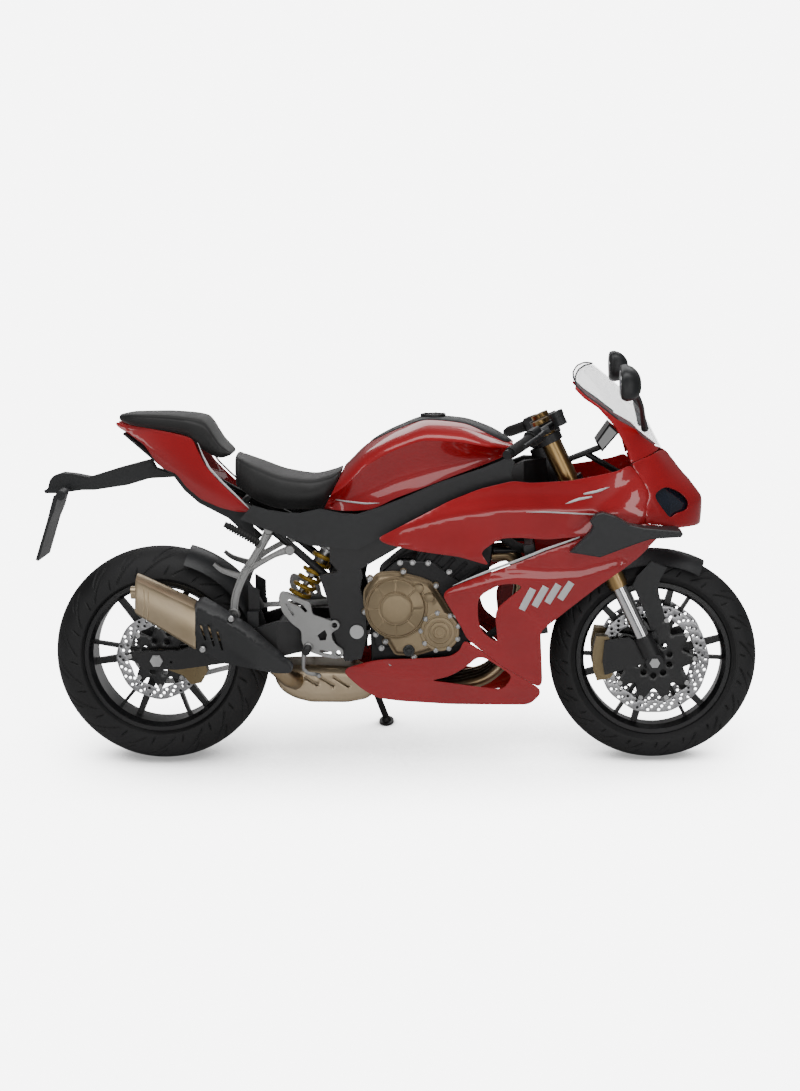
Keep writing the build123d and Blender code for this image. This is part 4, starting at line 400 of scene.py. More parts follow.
# Brake discs: ground steel rings 5 mm thick, cross-drilled, with a wavy rim, each carried on
# round buttons by a black carrier that is screwed to the hub.
def inside(points, loop):
    """Even-odd rule for many points at once against one closed loop."""
    x, y = points[:, 0][:, None], points[:, 1][:, None]
    a, b = loop, np.roll(loop, -1, 0)
    crosses = (a[:, 1] > y) != (b[:, 1] > y)
    with np.errstate(divide="ignore", invalid="ignore"):
        at = a[:, 0] + (y - a[:, 1]) / (b[:, 1] - a[:, 1]) * (b[:, 0] - a[:, 0])
    return (np.sum(crosses & (x < at), 1) % 2).astype(bool)


def sheet(outline, holes=(), folds=(), spacing=None):
    """Constrained Delaunay triangles of what lies inside an outline and outside its holes; folds are kept as
    edges."""
    loops = [np.asarray(outline, float), *[np.asarray(h, float) for h in holes]]
    points, edges, start = [], [], 0
    for loop in loops:
        n = len(loop)
        edges += [(start + i, start + (i + 1) % n) for i in range(n)]
        points.append(loop)
        start += n
    for line in folds:
        line = np.asarray(line, float)
        edges += [(start + i, start + i + 1) for i in range(len(line) - 1)]
        points.append(line)
        start += len(line)
    if spacing:
        low, high = loops[0].min(0), loops[0].max(0)
        gx, gy = np.meshgrid(
            np.arange(low[0], high[0], spacing), np.arange(low[1], high[1], spacing * 0.87), indexing="ij"
        )
        gx = gx + (np.arange(gx.shape[1]) % 2)[None, :] * spacing / 2
        fill = np.stack([gx.ravel(), gy.ravel()], 1)
        fill = fill[inside(fill, loops[0])]
        for hole in loops[1:]:
            fill = fill[~inside(fill, hole)]
        every = np.concatenate(points)
        near = np.min(np.linalg.norm(fill[:, None] - every[None], axis=2), 1) if len(fill) else np.array([])
        points.append(fill[near > spacing * 0.45])
    flat = [Vector(p) for p in np.concatenate(points).tolist()]
    verts, _, faces, *_ = delaunay_2d_cdt(flat, edges, [], 0, 1e-5)
    verts, faces = np.array([tuple(v) for v in verts]), np.array([tuple(f) for f in faces])
    middle = verts[faces].mean(1)
    keep = inside(middle, loops[0])
    for hole in loops[1:]:
        keep &= ~inside(middle, hole)
    return verts, faces[keep]


def upright(flat, y):
    """Side-view points (x, z) at depth y."""
    return np.stack([flat[:, 0], np.broadcast_to(y, len(flat)), flat[:, 1]], 1)


def walled(
    name, points, faces, material, slot, body, stands_for=(), wall=0.003, offset=-1.0, edge=0.0006,
    crisp=40.0, extra=()
):
    """A piece from triangles in upright space, given its wall by Solidify and a small round on its rims by
    Bevel."""
    sets, start = [(points, faces), *extra], 0
    every, tris = [], []
    for p, f in sets:
        every.append(parked(p))
        tris.append(np.asarray(f) + start)
        start += len(p)
    mesh = bpy.data.meshes.new(name)
    mesh.from_pydata(np.concatenate(every).tolist(), [], np.concatenate(tris).tolist())
    piece = fitted(name, mesh, material, body, stands_for, crisp)
    if wall:
        shell = piece.modifiers.new("wall", "SOLIDIFY")
        shell.thickness, shell.offset = wall, offset
    if edge:
        rim = piece.modifiers.new("rim", "BEVEL")
        rim.width, rim.segments, rim.limit_method, rim.angle_limit = edge, 2, "ANGLE", math.radians(50)
    return piece


def ring(radius, count, centre=(0.0, 0.0), phase=0.0, wave=0.0, waves=1):
    """Points of a circle, r = R + w cos(n t)."""
    t = np.arange(count) * 2 * math.pi / count + phase
    r = radius + wave * np.cos(waves * t)
    return np.stack([centre[0] + r * np.cos(t), centre[1] + r * np.sin(t)], 1)


def drilled_disc(centre, y, radius, inner, waves, rows):
    """A flat ring with rows of drilled holes; each row is (radius, number, shift of its first hole)."""
    holes = [ring(inner, 120, wave=3.0, waves=waves)]
    for row, number, phase in rows:
        t = np.arange(number) * 2 * math.pi / number + phase
        holes += [ring(4.2, 10, (row * math.cos(a), row * math.sin(a))) for a in t]
    flat, faces = sheet(ring(radius, 240, wave=1.6, waves=waves), holes, spacing=9)
    return upright(flat, y) + centre, faces


DISC_STEEL = finish(
    "disc_steel", "ground_disc", ((0.34, 0.34, 0.35), (0.46, 0.46, 0.47)), (0.26, 0.40), metal=1.0,
    grain=1600, depth=0.15
)
FRONT_ROWS = [(150, 30, 0.0), (141, 30, 0.07), (132, 30, 0.14)]
near_side, far_side = (
    drilled_disc(FRONT_AXLE, y, radius=158.4, inner=124, waves=10, rows=FRONT_ROWS) for y in (-62.0, 62.0)
)
walled(
    "front_disc_rings", *near_side, *DISC_STEEL, "front_wheel_body", wall=0.005, offset=0, edge=0.0004,
    extra=[far_side]
)
REAR_ROWS = [(117, 24, 0.0), (108, 24, 0.09), (99, 24, 0.18)]
walled(
    "rear_disc_ring", *drilled_disc(REAR_AXLE, -80.0, radius=125.4, inner=92, waves=8, rows=REAR_ROWS),
    *DISC_STEEL, "rear_wheel_body", wall=0.005, offset=0, edge=0.0004
)


def turned(profile, axis_point, around=48, axis="y"):
    """A section (distance along the axis, radius) turned round an axis, with a point where the radius is
    0."""
    t = np.linspace(0, 2 * math.pi, around, endpoint=False)[None, :]
    along, radius = np.asarray(profile, float)[:, 0][:, None], np.asarray(profile, float)[:, 1][:, None]
    if axis == "y":
        grid = np.stack([radius * np.cos(t), along + 0 * t, radius * np.sin(t)], -1)
    elif axis == "x":
        grid = np.stack([along + 0 * t, radius * np.cos(t), radius * np.sin(t)], -1)
    else:
        grid = np.stack([radius * np.cos(t), radius * np.sin(t), along + 0 * t], -1)
    return grid + np.asarray(axis_point, float), False, True


def carrier(centre, y, outer, inner, arms, phase):
    """A flat spider: an outline r = mean + swing cos(n t), with a window in each arm's root."""
    star = ring((outer + inner) / 2 + 4, 240, phase=0, wave=(outer - inner) / 2, waves=arms)
    holes = [ring(26, 48)] + [
        ring(9, 18, (48 * math.cos(a), 48 * math.sin(a)))
        for a in np.arange(arms) * 2 * math.pi / arms + phase
    ]
    flat, faces = sheet(star, holes, spacing=10)
    return upright(flat, y) + centre, faces


near_side, far_side = (carrier(FRONT_AXLE, y, outer=118, inner=84, arms=10, phase=0.3) for y in (-63.0, 63.0))
walled(
    "front_disc_carriers", *near_side, *WHEEL_BLACK, "front_wheel_body", wall=0.006, offset=0,
    extra=[far_side]
)
walled(
    "rear_disc_carrier", *carrier(REAR_AXLE, -80.0, outer=88, inner=60, arms=8, phase=0.3), *WHEEL_BLACK,
    "rear_wheel_body", wall=0.006, offset=0
)
BUTTON = [(-5, 0), (-5, 6.5), (-4, 7.5), (4, 7.5), (5, 6.5), (5, 0)]
for name, centre, sides, reach_out, arms, body in (
    ("front_disc_buttons", FRONT_AXLE, (-62, 62), 119, 10, "front_wheel_body"),
    ("rear_disc_buttons", REAR_AXLE, (-80,), 88, 8, "rear_wheel_body")
):
    spots = [
        (centre[0] + reach_out * math.cos(a), y, centre[2] + reach_out * math.sin(a)) for y in sides
        for a in np.arange(arms) * 2 * math.pi / arms
    ]
    joined(name, [turned(BUTTON, spot, 16) for spot in spots], *STEEL, body)
# The hub's own caps and the collars between hub and carrier.
joined(
    "front_hub_caps",
    [
        turned(
            [(-s * 42, 0), (-s * 42, 34), (-s * 66, 34), (-s * 66, 24), (-s * 62, 22), (-s * 62, 0)],
            FRONT_AXLE
        )
        for s in (1, -1)
    ],
    *WHEEL_BLACK, "front_wheel_body", ["front_discs"]
)
joined(
    "rear_hub_cap", [turned([(-60, 0), (-60, 34), (-82, 34), (-82, 24), (-78, 22), (-78, 0)], REAR_AXLE)],
    *WHEEL_BLACK, "rear_wheel_body", ["rear_disc"]
)


# Fairing: thin injected panels of gloss-painted plastic, screwed to the frame and to each other.
# They are cut from one smooth skin that is narrow at the screen, widest at the knees of the
# nose, and drawn in under the engine. Rims are folded in and slightly rounded.
STATIONS = np.array([520.0, 700.0, 880.0, 1040.0, 1200.0, 1340.0])
# Height, nose position, half-widths at the stations, then behind the nose and at its shoulder.
SKIN = np.array([
    (170, 1500, 98, 108, 114, 116, 100, 70, 40, 20),
    (300, 1500, 128, 160, 170, 168, 150, 130, 90, 40),
    (420, 1500, 160, 200, 206, 204, 196, 180, 120, 50),
    (560, 1500, 168, 216, 222, 224, 216, 190, 130, 60),
    (680, 1566, 168, 206, 228, 234, 230, 208, 152, 74),
    (760, 1572, 160, 196, 222, 230, 228, 208, 150, 70),
    (850, 1508, 150, 180, 208, 216, 214, 190, 132, 60),
    (930, 1448, 130, 150, 180, 192, 190, 160, 110, 50),
    (1110, 1330, 80, 90, 110, 120, 112, 100, 76, 36),
], float)


def hermite(t, h, a, b, slope_a, slope_b):
    """(2t^3 - 3t^2 + 1) a + (t^3 - 2t^2 + t) h a' + (3t^2 - 2t^3) b + (t^3 - t^2) h b'."""
    ends = (2 * t**3 - 3 * t**2 + 1) * a + (3 * t**2 - 2 * t**3) * b
    return ends + h * ((t**3 - 2 * t**2 + t) * slope_a + (t**3 - t**2) * slope_b)


def smooth_through(at, stops, values):
    """Cubic Hermite through rows of values at the stops; each slope is the harmonic mean of the two spans
    beside it, or 0 at a turn."""
    span = np.diff(stops)[:, None]
    rise = np.diff(values, axis=0) / span
    with np.errstate(divide="ignore", invalid="ignore"):
        inner = np.where(rise[:-1] * rise[1:] > 0, 2 * rise[:-1] * rise[1:] / (rise[:-1] + rise[1:]), 0)
    slope = np.concatenate([rise[:1], inner, rise[-1:]])
    i = np.clip(np.searchsorted(stops, at) - 1, 0, len(stops) - 2)
    h = np.diff(stops)[i][:, None]
    s = ((at - stops[i])[:, None]) / h
    return hermite(s, h, values[i], values[i + 1], slope[i], slope[i + 1])


def skin_rows(z):
    """At each height, the section's nine points (x, half-width) from the tank to the nose's middle."""
    row = smooth_through(np.clip(z, 150, 1130), SKIN[:, 0], SKIN[:, 1:])
    front = np.maximum(row[:, 0], 1370)
    xs = np.concatenate(
        [
            np.tile(STATIONS, (len(z), 1)), ((1340 + front) / 2 + 20)[:, None], (front - 14)[:, None],
            front[:, None]
        ],
        1
    )
    ws = np.concatenate([row[:, 1:9], np.zeros((len(z), 1))], 1)
    return xs, ws


def skin_point(u, z):
    """Catmull-Rom in u through the nine points, mirrored past the nose so that it closes round."""
    out = []
    for table, sign in zip(skin_rows(z), (1, -1)):
        padded = np.concatenate([2 * table[:, :1] - table[:, 1:2], table, sign * table[:, -2:-1]], 1)
        i = np.clip(u.astype(int), 0, 7)
        s = u - i
        r = np.arange(len(u))
        a, b, c, d = padded[r, i], padded[r, i + 1], padded[r, i + 2], padded[r, i + 3]
        out.append(b + 0.5 * s * (c - a + s * (2 * a - 5 * b + 4 * c - d + s * (3 * (b - c) + d - a))))
    return np.stack([out[0], -out[1], z], 1)


U_SCALE = 160.0


def on_skin(x, z):
    """Finds u for points of the side view by halving, 30 times, the span that holds x."""
    low, high = np.zeros(len(x)), np.full(len(x), 8.0)
    for _ in range(30):
        middle = (low + high) / 2
        short = skin_point(middle, z)[:, 0] < x
        low, high = np.where(short, middle, low), np.where(short, high, middle)
    return np.stack([low * U_SCALE, z], 1)


def eased(outline, step=9.0, rounds=3):
    """A closed outline resampled every few millimetres, its corners rounded by averaging neighbours."""
    loop = np.asarray(outline, float)
    after = np.roll(loop, -1, 0)
    runs = np.linalg.norm(after - loop, axis=1)
    at = np.concatenate([[0], np.cumsum(runs)])
    s = np.linspace(0, at[-1], max(12, int(at[-1] / step)), endpoint=False)
    closed = np.concatenate([loop, loop[:1]])
    out = np.stack([np.interp(s, at, closed[:, k]) for k in (0, 1)], 1)
    for _ in range(rounds):
        out = 0.25 * np.roll(out, 1, 0) + 0.5 * out + 0.25 * np.roll(out, -1, 0)
    return out


def resampled(line, step=14.0):
    """An open line with points every few millimetres."""
    line = np.asarray(line, float)
    at = np.concatenate([[0], np.cumsum(np.linalg.norm(np.diff(line, axis=0), axis=1))])
    s = np.linspace(0, at[-1], max(2, int(at[-1] / step)))
    return np.stack([np.interp(s, at, line[:, k]) for k in (0, 1)], 1)


def from_line(points, line):
    """Distance of many side-view points from a polyline, and on which side they lie (+ above)."""
    a, b = line[:-1], line[1:]
    run = b - a
    t = np.clip(np.sum((points[:, None] - a) * run, 2) / np.sum(run**2, 1), 0, 1)
    gap = points[:, None] - (a + t[..., None] * run)
    far = np.linalg.norm(gap, axis=2)
    i = np.argmin(far, 1)
    r = np.arange(len(points))
    across = run[i, 0] * gap[r, i, 1] - run[i, 1] * gap[r, i, 0]
    return far[r, i], np.sign(across)


# Style lines pressed into the panels, in the side view: points, height, width above, width below.
STYLE_LINES = [
    ([(700, 702), (850, 742), (1000, 762), (1150, 764), (1300, 752), (1400, 742)], 9.0, 34.0, 90.0),
    ([(1210, 700), (1280, 770), (1350, 830), (1390, 860)], -6.0, 40.0, 40.0),
    (
        [(846, 520), (900, 532), (985, 556), (1040, 562), (1120, 556), (1220, 560), (1330, 590)], 7.0, 30.0,
        60.0
    ),
    ([(1050, 500), (1120, 430), (1160, 400), (1200, 440), (1290, 520)], -5.0, 30.0, 30.0),
    ([(560, 286), (700, 268), (850, 262), (1000, 250), (1090, 232)], 8.0, 40.0, 60.0),
]


def pressed(xz):
    """How far the skin stands out at side-view points: for each line h * max(0, 1 - d / w), w the width on
    that side."""
    out = np.zeros(len(xz))
    for line, height, wide_above, wide_below in STYLE_LINES:
        far, side = from_line(xz, np.asarray(line, float))
        width = np.where(side > 0, wide_above, wide_below)
        out += height * np.clip(1 - far / width, 0, 1) ** 1.4
    return out


def panel_points(outline, holes=(), spacing=13.0, lift=0.0, step=9.0, rounds=3):
    """One flank's panel: triangles of the outline in (u, z), carried to the skin and pushed out by its style
    lines."""
    loop = eased(outline, step, rounds)
    rim = on_skin(loop[:, 0], loop[:, 1])
    cuts = [on_skin(h[:, 0], h[:, 1]) for h in (eased(hole, step, rounds) for hole in holes)]
    flat, faces = sheet(rim, cuts, spacing=spacing)
    points = skin_point(flat[:, 0] / U_SCALE, flat[:, 1])
    out = pressed(points[:, [0, 2]]) * np.clip(-points[:, 1] / 60, 0, 1) + lift
    points[:, 1] -= out
    return points, faces


def both_flanks(points, faces):
    """The panel and its mirror image across the middle plane, with its faces wound the other way."""
    return (points, faces), (points * (1, -1, 1), faces[:, ::-1])


RED_PAINT = finish(
    "red_paint", "red_lacquer", ((0.40, 0.002, 0.006), (0.46, 0.003, 0.008)), (0.34, 0.42), metal=0.1,
    coat=0.9, coat_gloss=0.03, grain=900, depth=0.02
)
PANEL_WALL = 0.0035


def panel(name, outline, node, holes=(), **more):
    """A red panel on each flank, in place of its node."""
    near, far = both_flanks(*panel_points(outline, holes, **more))
    return walled(name, *near, *RED_PAINT, "root", [node], wall=PANEL_WALL, extra=[far])


UPPER_FAIRING = [
    (643, 674), (711, 710), (852, 783), (936, 816), (1029, 838), (1076, 832), (1188, 837), (1272, 851),
    (1328, 862), (1361, 878), (1412, 800), (1404, 760), (1400, 712), (1244, 682), (1121, 673), (1048, 679),
    (992, 677), (935, 637), (963, 598), (879, 624), (766, 639), (668, 659),
]
LOWER_FAIRING = [
    (844, 533), (900, 556), (963, 580), (1048, 610), (1121, 640), (1244, 682), (1400, 712), (1475, 697),
    (1441, 672), (1427, 658), (1385, 615), (1329, 576), (1273, 539), (1188, 473), (1118, 416), (1103, 404),
    (1106, 386), (1111, 242), (1103, 231), (990, 304), (933, 352), (894, 387), (883, 415), (827, 516),
]
LOWER_WINDOW = [
    (928, 500), (940, 517), (991, 545), (1033, 548), (1058, 539), (985, 479), (976, 456), (984, 370),
    (939, 405), (928, 442)
]
BELLY = [
    (887, 382), (876, 348), (847, 330), (790, 325), (661, 319), (624, 314), (546, 290), (537, 276),
    (588, 226), (633, 197), (702, 188), (846, 179), (1074, 177), (1109, 213), (1103, 230), (990, 303),
    (933, 351),
]
BELLY_WINDOW = [
    (789, 256), (846, 270), (890, 296), (927, 331), (950, 325), (1026, 270), (998, 226), (903, 238),
    (832, 250)
]
NOSE = [
    (1361, 879), (1412, 801), (1404, 760), (1400, 712), (1475, 698), (1490, 691), (1566, 691), (1580, 700),
    (1580, 760), (1540, 812), (1500, 880), (1452, 909),
]
LAMP = [
    (1446, 804), (1460, 812), (1502, 794), (1526, 770), (1530, 749), (1521, 738), (1488, 734), (1474, 718),
    (1432, 776), (1426, 793)
]
panel("upper_side_panels", UPPER_FAIRING, "side_fairing")
panel("lower_side_panels", LOWER_FAIRING, "lower_fairing", [LOWER_WINDOW])
panel("belly_panels", BELLY, "belly_pan", [BELLY_WINDOW])
panel("nose_panel", NOSE, "nose_cowl", [LAMP], rounds=2)


# Lamps, winglets and dash: dark lenses set in the nose, moulded wings below them and a glass
# display behind the screen. Their shapes are the CAD's own.
def see_through(slot, name, tint, roughness, alpha):
    """Clear plastic and its slot: a tinted, partly open surface with a hard gloss."""
    material = bpy.data.materials.new(name)
    material.use_nodes = True
    shader = material.node_tree.nodes["Principled BSDF"]
    preset(shader, {"Base Color": (*tint, 1), "Roughness": roughness, "Alpha": alpha, "Coat Weight": 1.0})
    return material, slot


LAMP_LENS = see_through("lamp_lens", "lamp_lens", (0.012, 0.018, 0.032), 0.04, 0.93)
DISPLAY = finish(
    "display", "display_glass", ((0.006, 0.006, 0.008), (0.010, 0.010, 0.012)), (0.06, 0.10), coat=1.0,
    grain=300, depth=0.0
)
dressed(LAMP_LENS, "headlamps")
dressed(SATIN_BLACK, "winglets")
dressed(DISPLAY, "dash")


# Fuel tank: pressed steel with a deep gloss lacquer. A crisp crease runs from the knee cut-out at
# the back, over the flank and down to the steering head; above it the top is one soft dome.
# Its columns: x, bottom and half-width, crease and half-width, shoulder and half-width, top.
TANK = np.array([
    (484, 745, 70, 770, 84, 792, 62, 812),
    (545, 742, 104, 812, 124, 850, 84, 866),
    (610, 746, 120, 872, 144, 908, 108, 926),
    (700, 782, 128, 922, 158, 956, 118, 975),
    (790, 816, 132, 948, 166, 984, 116, 1003),
    (880, 850, 128, 942, 162, 978, 106, 996),
    (960, 878, 112, 926, 138, 950, 84, 971),
    (1030, 902, 46, 914, 56, 920, 40, 930),
], float)
TANK_BACK = np.array([(700, 487), (750, 487), (781, 505), (827, 528), (871, 547), (900, 560)], float)


def tank_at(x, v):
    """Half-width and height on the section at x: v runs 0 top, 2 shoulder, 3 crease, 4 lower edge, 5 under
    the middle."""
    bottom, low, crease, wide, shoulder, high, top = smooth_through(x, TANK[:, 0], TANK[:, 1:]).T
    s = np.clip(v / 2, 0, 1)
    dome_y = high * np.sin(s * math.pi / 2) ** 0.9
    dome_z = shoulder + (top - shoulder) * (1 - (dome_y / high) ** 2)
    a = np.clip(v - 2, 0, 1)
    side_y = high + (wide - high) * (1 - (1 - a) ** 1.8)
    side_z = shoulder + (crease - shoulder) * a ** 1.15
    b = np.clip(v - 3, 0, 1)
    flank_y = wide + (low - wide) * b - 14 * np.sin(b * math.pi) * (wide > 100)
    flank_z = crease + (bottom - crease) * b
    c = np.clip(v - 4, 0, 1)
    y = np.where(v <= 2, dome_y, np.where(v <= 3, side_y, np.where(v <= 4, flank_y, low * (1 - c))))
    z = np.where(v <= 2, dome_z, np.where(v <= 3, side_z, np.where(v <= 4, flank_z, bottom)))
    return y, z


def poled(grid):
    """Closes a grid at both ends by a row drawn together at the mean of the end row."""
    first, last = (np.broadcast_to(row.mean(0), row.shape)[None] for row in (grid[0], grid[-1]))
    return np.concatenate([first, grid, last])


def tank_grid(rows=90):
    """P(i, v) with x run from the slanted back cut X(z) to the front, solved by six passes of x = X(z(x)) + s
    (end - X)."""
    v = np.concatenate(
        [np.linspace(0, 2, 22), np.linspace(2, 3, 9)[1:], np.linspace(3, 4, 10)[1:], np.linspace(4, 5, 5)[1:]]
    )
    s, v = np.meshgrid(np.linspace(0, 1, rows), v, indexing="ij")
    x = 487 + s * (1030 - 487)
    for _ in range(6):
        y, z = (part.reshape(s.shape) for part in tank_at(x.ravel(), v.ravel()))
        start = np.interp(z, TANK_BACK[:, 0], TANK_BACK[:, 1])
        x = start + s * (1030 - start)
    half = np.stack([x, y, z], -1)
    left = half[:, 1:-1][:, ::-1] * (1, -1, 1)
    return poled(np.concatenate([half, left], 1))


joined("tank_shell", [(tank_grid(), False, True)], *RED_PAINT, "root", ["fuel_tank"], crisp=26)


def tank_top(x, y):
    """Height of the tank's dome over a plan point: shoulder + (top - shoulder) (1 - (y / half)^2)."""
    row = smooth_through(x, TANK[:, 0], TANK[:, 1:])
    shoulder, high, top = row[:, 4], row[:, 5], row[:, 6]
    return shoulder + (top - shoulder) * (1 - (y / high) ** 2)


COVER_PLAN = [
    (612, 0), (628, 30), (660, 46), (760, 60), (880, 66), (960, 72), (1005, 56), (1024, 30), (1028, 0)
]
plan = eased(COVER_PLAN + [(x, -y) for x, y in COVER_PLAN[-2:0:-1]], step=8)
cap_hole = ring(38.0, 64, (800.0, 0.0))
flat, faces = sheet(plan, [cap_hole], spacing=11)
edge_away = np.min(np.linalg.norm(flat[:, None] - plan[None], axis=2), 1)
raised = tank_top(flat[:, 0], flat[:, 1]) + 1.0 + 2.2 * np.clip(edge_away / 7, 0, 1) ** 0.5
raised += (
    2.0 * np.clip(1 - np.abs(np.abs(flat[:, 1]) - 30) / 5, 0, 1) * np.clip((flat[:, 0] - 860) / 30, 0, 1)
)
walled(
    "tank_top_moulding", np.column_stack([flat, raised]), faces, *SATIN_BLACK, "root", ["tank_top_cover"],
    wall=0.004
)

# Filler cap: a turned ring with a hinged lid, six screws round it and a lock's shield.
CAP = [
    (992, 0), (992, 36.5), (1009, 36.5), (1011, 35), (1011, 27), (1008.6, 26), (1008.6, 11), (1010, 10),
    (1010, 0)
]
screws = [
    turned(
        [(1009, 0), (1009, 2.6), (1012.4, 2.6), (1012.4, 1.3), (1011, 1.2), (1011, 0)],
        (800 + 31 * math.cos(a), 31 * math.sin(a), 0), 12, "z"
    )
    for a in np.arange(6) * math.pi / 3 + 0.3
]
joined("filler_cap", [turned(CAP, (800, 0, 0), 72, "z")], *FRAME_BLACK, "fuel_cap_body", ["fuel_cap"])
joined("filler_cap_screws", screws, *STEEL, "fuel_cap_body")


# Cushions: foam under grained vinyl, stretched over a base pan and stapled beneath, crowned in
# the middle and tight at the seams. Columns: x, underside and half-width, widest height and
# half-width, edge height and half-width, crown.
RIDER_CUSHION = np.array([
    (228, 812, 56, 850, 84, 894, 66, 905),
    (300, 768, 88, 815, 124, 862, 102, 876),
    (380, 746.4, 94, 800, 132, 834, 106, 848),
    (460, 744.4, 86, 796, 120, 824, 90, 838),
    (520, 746.4, 68, 800, 98, 836, 74, 852),
    (544, 780, 58, 830, 82, 854, 60, 863),
], float)
PILLION_CUSHION = np.array([
    (-110, 1000, 18, 1006, 32, 1011, 26, 1016),
    (-60, 985, 42, 1000, 65, 1015, 55, 1023),
    (20, 973, 56, 992, 83, 1013, 71, 1023),
    (90, 959, 68, 982, 97, 1007, 83, 1019),
    (140, 916, 76, 960, 103, 997, 87, 1011),
    (190, 893, 72, 906, 97, 930, 82, 943),
    (219, 900, 58, 903, 78, 906, 68, 911),
], float)


def cushion(name, table, slants, seams, node):
    """Section at x as a rounded loop: (half-width, height) by Catmull-Rom through middle, edge, widest,
    underside; ends drawn in to poles."""
    s = np.linspace(0, 1, 96)
    ease = 0.5 - 0.5 * np.cos(s * math.pi)
    x = table[0, 0] + (table[-1, 0] - table[0, 0]) * (0.35 * s + 0.65 * ease)
    bottom, low, belly, wide, edge, high, crown = smooth_through(x, table[:, 0], table[:, 1:]).T
    v = np.linspace(0, 1, 40)[None, :]
    c = lambda a: a[:, None]
    top = v < 0.45
    t = np.clip(v / 0.45, 0, 1)
    over_y = c(high) * np.sin(t * math.pi / 2)
    over_z = c(edge) + (c(crown) - c(edge)) * np.cos(t * math.pi / 2) ** 1.1
    b = np.clip((v - 0.45) / 0.40, 0, 1)
    side_y = c(high) + (c(wide) - c(high)) * np.sin(b * math.pi / 2) + (c(low) - c(wide)) * b**3
    side_z = c(edge) + (c(bottom) - c(edge)) * (b * 0.75 + 0.25 * b**2)
    u = np.clip((v - 0.85) / 0.15, 0, 1)
    y = np.where(top, over_y, np.where(v < 0.85, side_y, c(low) * (1 - u)))
    z = np.where(top, over_z, np.where(v < 0.85, side_z, c(bottom) + 0 * v))
    puff = 2.4 * np.sin(np.clip(s, 0, 1) * math.pi)[:, None] * np.cos(np.clip(v / 0.5, 0, 1) * math.pi / 2)
    z = z + puff
    for at, side_share in seams:
        groove = (
            np.exp(-(((c(s) - at) / 0.006) ** 2)) if side_share is None
            else np.exp(-(((v - side_share) / 0.012) ** 2))
        )
        z = z - 2.0 * groove * (v < 0.84)
        y = y - 1.2 * groove * (v < 0.84)
    end = np.clip(np.minimum(s, 1 - s) / 0.05, 0, 1)[:, None]
    round_end = np.sqrt(1 - (1 - end) ** 2)
    middle = (c(bottom) + c(crown)) / 2
    y, z = y * (0.55 + 0.45 * round_end), middle + (z - middle) * (0.45 + 0.55 * round_end)
    lean_back = np.interp(z, slants[0], slants[1]) * c(s) ** 2
    half = np.stack([c(x) + lean_back, y, z], -1)
    loop = np.concatenate([half, half[:, 1:-1][:, ::-1] * (1, -1, 1)], 1)
    piece = joined(name, [(poled(loop), False, True)], *SEAT_VINYL, "root", [node], crisp=70)
    return piece


SEAT_VINYL = finish(
    "seat_vinyl", "seat_vinyl", ((0.010, 0.010, 0.010), (0.018, 0.018, 0.018)), (0.48, 0.62), grain=520,
    depth=0.5, sheen=0.2
)
cushion(
    "rider_cushion", RIDER_CUSHION, ([744, 782, 828, 866], [-58, -40, -18, -2]), [(0.10, None), (0.0, 0.47)],
    "rider_seat"
)
cushion(
    "pillion_cushion", PILLION_CUSHION, ([890, 1020], [0, 0]), [(0.78, None), (0.0, 0.49)], "pillion_seat"
)


# Tail: a red plastic shell either side of the passenger's cushion. Its columns: x, lower edge
# and half-width, waist and half-width, top edge and half-width.
TAIL_ROWS = np.array([
    (-128, 960, 14, 985, 26, 1002, 18),
    (0, 850, 50, 930, 68, 978, 60),
    (130, 752, 84, 850, 102, 946, 88),
    (296, 640, 112, 780, 134, 884, 128),
], float)
TAIL = [
    (-122, 997), (-79, 986), (-8, 977), (64, 964), (110, 952), (124, 920), (148, 874), (190, 828), (233, 787),
    (284, 744), (246, 741), (189, 753), (132, 776), (89, 811), (61, 849), (18, 864), (-10, 895), (-32, 930),
    (-80, 962), (-120, 985),
]


def tail_skin(xz, lift=0.0):
    """Half-width rises from the lower edge to the waist as a quarter sine, then eases in to the top edge."""
    bottom, low, waist, wide, top, high = smooth_through(xz[:, 0], TAIL_ROWS[:, 0], TAIL_ROWS[:, 1:]).T
    under = np.clip((xz[:, 1] - bottom) / (waist - bottom), 0, 1)
    over = np.clip((xz[:, 1] - waist) / (top - waist), 0, 1.4)
    y = low + (wide - low) * np.sin(under * math.pi / 2) + (high - wide) * over**1.5
    return upright(xz, -y - lift)


flat, faces = sheet(eased(TAIL, 8, 2), spacing=12)
near, far = both_flanks(tail_skin(flat), faces)
walled("tail_panels", *near, *RED_PAINT, "root", ["tail_cowl"], wall=PANEL_WALL, extra=[far])
# The underside and the flap for the plate are black mouldings, and the lamp is a red lens.
TAIL_RED = see_through("tail_red", "tail_lens", (0.35, 0.005, 0.008), 0.12, 0.95)
dressed(TAIL_RED, "tail_lamp")
dressed(SATIN_BLACK, "tail_under", "plate_holder")


# Stripes: thin printed film laid on the paint before the clear coat, a few tenths proud.
WHITE_FILM = finish(
    "cast_alloy", "white_film", ((0.74, 0.74, 0.75), (0.80, 0.80, 0.81)), (0.20, 0.28), coat=0.8, grain=900,
    depth=0.02
)


def ribbon(line, width, taper=(0.3, 0.3)):
    """Outline of a band along a line, of a width that narrows to a share of itself at either end."""
    line = resampled(line, 10.0)
    run = np.gradient(line, axis=0)
    across = np.stack([-run[:, 1], run[:, 0]], 1) / np.linalg.norm(run, axis=1)[:, None]
    s = np.linspace(0, 1, len(line))
    half = width / 2 * np.minimum(
        np.interp(s, [0, 0.25, 1], [taper[0], 1, 1]), np.interp(s, [0, 0.7, 1], [1, 1, taper[1]])
    )
    return np.concatenate([line + across * half[:, None], (line - across * half[:, None])[::-1]])


FILM_WALL = 0.0004


